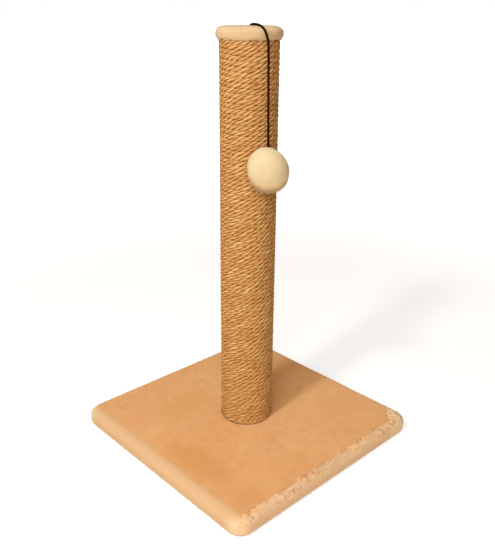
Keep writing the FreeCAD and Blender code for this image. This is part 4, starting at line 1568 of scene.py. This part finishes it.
def dress_nodes() -> None:
    """Give every node that stays shown a procedural material by its slot in the record."""
    finishes = {
        "particle_board": ChipFinish("particle_board", screen_colour(205, 170, 120), screen_colour(150, 112, 68),
                                     450.0, (1.0, 1.0, 2.0)),
        "plug_wood": ChipFinish("plug_wood", screen_colour(214, 182, 134), screen_colour(188, 150, 100), 260.0,
                                (1.0, 1.0, 0.12)),
        "cardboard": ChipFinish("cardboard", screen_colour(176, 150, 116), screen_colour(150, 122, 90), 700.0),
        "zinc_steel": MetalFinish("zinc_steel"),
        "cord": PlushFinish("knotted_cord", (0.05, 0.02, 0.012), (0.03, 0.012, 0.008), (0.04, 0.015, 0.01),
                            clump_scale=900.0, fibre_scale=3000.0)}
    materials = {slot: finish.material() for slot, finish in finishes.items()}
    slots = {part["node"]: part["material_slot"] for part in frame["record"]["subparts"]}
    for name, node in frame["nodes"].items():
        if not node.hide_render and slots.get(name) in materials:
            node.data.materials.clear()
            node.data.materials.append(materials[slots[name]])


# ---------------------------------------------------------------- camera, floor and light

class Light(Enum):
    """The lamps: bearing and height seen from the post, distance, size, power and colour."""

    KEY = (189.0, 45.0, 2.4, 0.35, 28.0, (0.98, 0.99, 1.0))
    FILL = (218.0, 28.0, 2.4, 1.4, 31.0, (1.0, 0.98, 0.95))

    def place(self) -> Vector:
        """Where the lamp stands."""
        bearing, rise, distance = math.radians(self.value[0]), math.radians(self.value[1]), self.value[2]
        level = distance * math.cos(rise)
        return Vector((level * math.cos(bearing), level * math.sin(bearing), distance * math.sin(rise) + 0.25))


@dataclass(frozen=True)
class Studio:
    """A white studio seen as in the photograph."""

    camera_place: Point = (-0.6000, -0.6356, 0.6010)
    heading: float = math.radians(-43.35)
    pitch: float = math.radians(22.007)
    roll: float = 0.0084
    lens: float = 43.78
    floor_size: float = 60.0
    ambient: float = 0.38

    def camera(self) -> None:
        """Set the camera at its place."""
        data = bpy.data.cameras.new("camera")
        data.lens = self.lens
        data.sensor_width = 36.0
        data.clip_start = 0.01
        camera = linked("camera", data)
        turn = (Matrix.Rotation(self.heading, 4, "Z") @ Matrix.Rotation(math.pi / 2 - self.pitch, 4, "X")
                @ Matrix.Rotation(self.roll, 4, "Z"))
        camera.matrix_world = Matrix.Translation(self.camera_place) @ turn
        bpy.context.scene.camera = camera

    def floor(self) -> None:
        """Lay a white floor that keeps the object's shadow."""
        deselect_all()
        bpy.ops.mesh.primitive_plane_add(size=self.floor_size, location=(0, 0, 0))
        floor = bpy.context.object
        floor.name = "floor"
        material = bpy.data.materials.new("white_floor")
        wiring = bare_wiring(material)
        matt = wiring.add("BsdfDiffuse", {"Color": (0.68, 0.61, 0.52)})
        strength = wiring.ramp(wiring.length(object_place(wiring)), 0.6, 2.2, 0.65, 1.3)
        glow = wiring.add("Emission", {"Color": (0.8, 0.9, 1.0), "Strength": strength})
        both = wiring.add("AddShader", {0: matt.outputs[0], 1: glow.outputs[0]})
        shown = wiring.add("MixShader", {0: wiring.seen(), 1: matt.outputs[0], 2: both.outputs[0]})
        wiring.add("OutputMaterial", {"Surface": shown.outputs[0]})
        floor.data.materials.append(material)

    def light(self) -> None:
        """Light the scene from the left, with a soft fill and a pale surround."""
        for lamp in Light:
            width, power, colour = lamp.value[3:]
            data = bpy.data.lights.new(lamp.name.lower(), "AREA")
            data.shape = "DISK"
            data.size = width
            data.energy = power
            data.color = colour
            light = linked(lamp.name.lower(), data)
            aim = Vector((0, 0, 0.25)) - lamp.place()
            light.matrix_world = Matrix.Translation(lamp.place()) @ aim.to_track_quat("-Z", "Y").to_matrix().to_4x4()
        world = bpy.data.worlds.new("surround")
        bpy.context.scene.world = world
        wiring = bare_wiring(world)
        seen = wiring.seen()
        strength = wiring.ramp(seen, 0.0, 1.0, self.ambient, 1.0)
        colour = wiring.mix(seen, (1.0, 0.79, 0.56), (1.0, 1.0, 1.0))
        back = wiring.add("Background", {"Color": colour, "Strength": strength})
        wiring.add("OutputWorld", {"Surface": back.outputs[0]})
        bpy.context.scene.view_settings.view_transform = "Standard"


# ---------------------------------------------------------------- the whole object

def bead_at_bend(toy: Toy, finish: TwistFinish) -> None:
    """The short round piece of cord in its bend at the cap's edge."""
    piece = primitive(bpy.ops.mesh.primitive_uv_sphere_add, "cord_bend_round", segments=20, ring_count=14,
                      radius=toy.cord_diameter / 2 * 1.02)
    places = vertex_places(piece)
    store_values(piece, "strand_place", places.copy())
    # The bend's round gets one even painted shade of 0.8.
    store_values(piece, "groove", np.full(len(places), 0.8))
    move_vertices(piece, places + np.array(toy.edge))
    dress(piece, finish.material(), "cord_edge", "cord", "cord_bend")


def main() -> None:
    """Build the object's pieces and the studio."""
    logging.basicConfig(level=logging.INFO, format="%(name)s: %(message)s")
    SharedGroups.build()
    studio = Studio()
    studio.camera()
    studio.floor()
    studio.light()
    blade = Blade()
    lock = Blade(5, (0.2, 0.4, 0.6, 0.8), 1.35)

    toy = Toy()
    cord = TwistFinish("dark_cord", (0.04, 0.009, 0.004), (0.012, 0.003, 0.002), 1800.0, 500.0, 0.15 * MM, 1.0)
    cord_line = toy.cords(cord)
    bead_at_bend(toy, cord)
    # The side colour (252, 226, 180) below 0.388 to 0.414 m is painted light: it lightens the ball's underside, where
    # less light falls.
    cream = PlushFinish("ball_plush", screen_colour(220, 204, 167), screen_colour(217, 199, 162),
                        screen_colour(252, 226, 180), 0.388, 0.414, 30.0, 300.0, 1500.0, softness=0.8, sheen=0.3,
                        soft_depth=14 * MM)
    white_fill = PlushFinish("polyester_fill", (0.9, 0.9, 0.88), (0.8, 0.8, 0.78), (0.9, 0.9, 0.88))
    toy.ball(blade, cream, white_fill)

    sisal = TwistFinish("sisal", screen_colour(249, 210, 146), screen_colour(164, 102, 42), 1700.0, 70.0, 0.4 * MM, 0.8)
    sisal_fibres = FibreFinish("sisal_fibres", screen_colour(214, 158, 92), screen_colour(240, 194, 128))
    rope = Rope()
    rope.wind(sisal)
    rope.staples(MetalFinish("staple_wire"))
    rope.fuzz(blade, sisal_fibres)

    cap = Cap()
    # The cap's side colour below 0.562 to 0.572 m is lighter than its top: partly the pile seen end-on, partly painted
    # light, with the top that catches the most light coloured darker.
    cap_plush = PlushFinish("cap_plush", screen_colour(212, 187, 149), screen_colour(209, 182, 144),
                            screen_colour(234, 200, 157), 0.562, 0.572, 40.0, 260.0, 1500.0, softness=0.9, sheen=0.15)
    cap_cover = cap.cover(cap_plush, cord_line)
    cap.fibres(blade, cap_cover, cap_plush)

    base = Base()
    marks = tuple(BrushMark(centre, size, turn, screen_colour(*colour), strength)
                  for centre, size, turn, colour, strength in (
                      ((-0.135, -0.045), (0.030, 0.075), 0, (216, 156, 94), 0.6),
                      ((-0.055, 0.075), (0.06, 0.035), 20, (224, 165, 106), 0.6),
                      ((-0.125, 0.088), (0.04, 0.03), 0, (229, 170, 120), 0.8),
                      ((-0.012, -0.105), (0.010, 0.024), 12, (238, 183, 130), 0.7),
                      ((0.010, -0.098), (0.006, 0.018), -15, (237, 181, 128), 0.6),
                      ((0.115, -0.095), (0.045, 0.04), 0, (228, 167, 113), 0.5),
                      ((-0.075, -0.125), (0.05, 0.02), -20, (230, 172, 117), 0.5),
                      ((-0.135, -0.145), (0.03, 0.022), 0, (220, 160, 108), 0.7)))
    # Below 18.5 to 23.5 mm the plush takes the side colour (218, 180, 139): partly the pile seen end-on, partly painted
    # light.
    tan = BasePlushFinish("base_plush", screen_colour(233, 179, 126), screen_colour(227, 171, 118),
                          screen_colour(218, 180, 139), 0.0185, 0.0235, 12.0, 240.0, 1500.0, marks=marks)
    base_cover = base.cover(tan)
    base.fibres(blade, lock, base_cover, tan)
    dress_nodes()


if __name__ == "__main__":
    main()
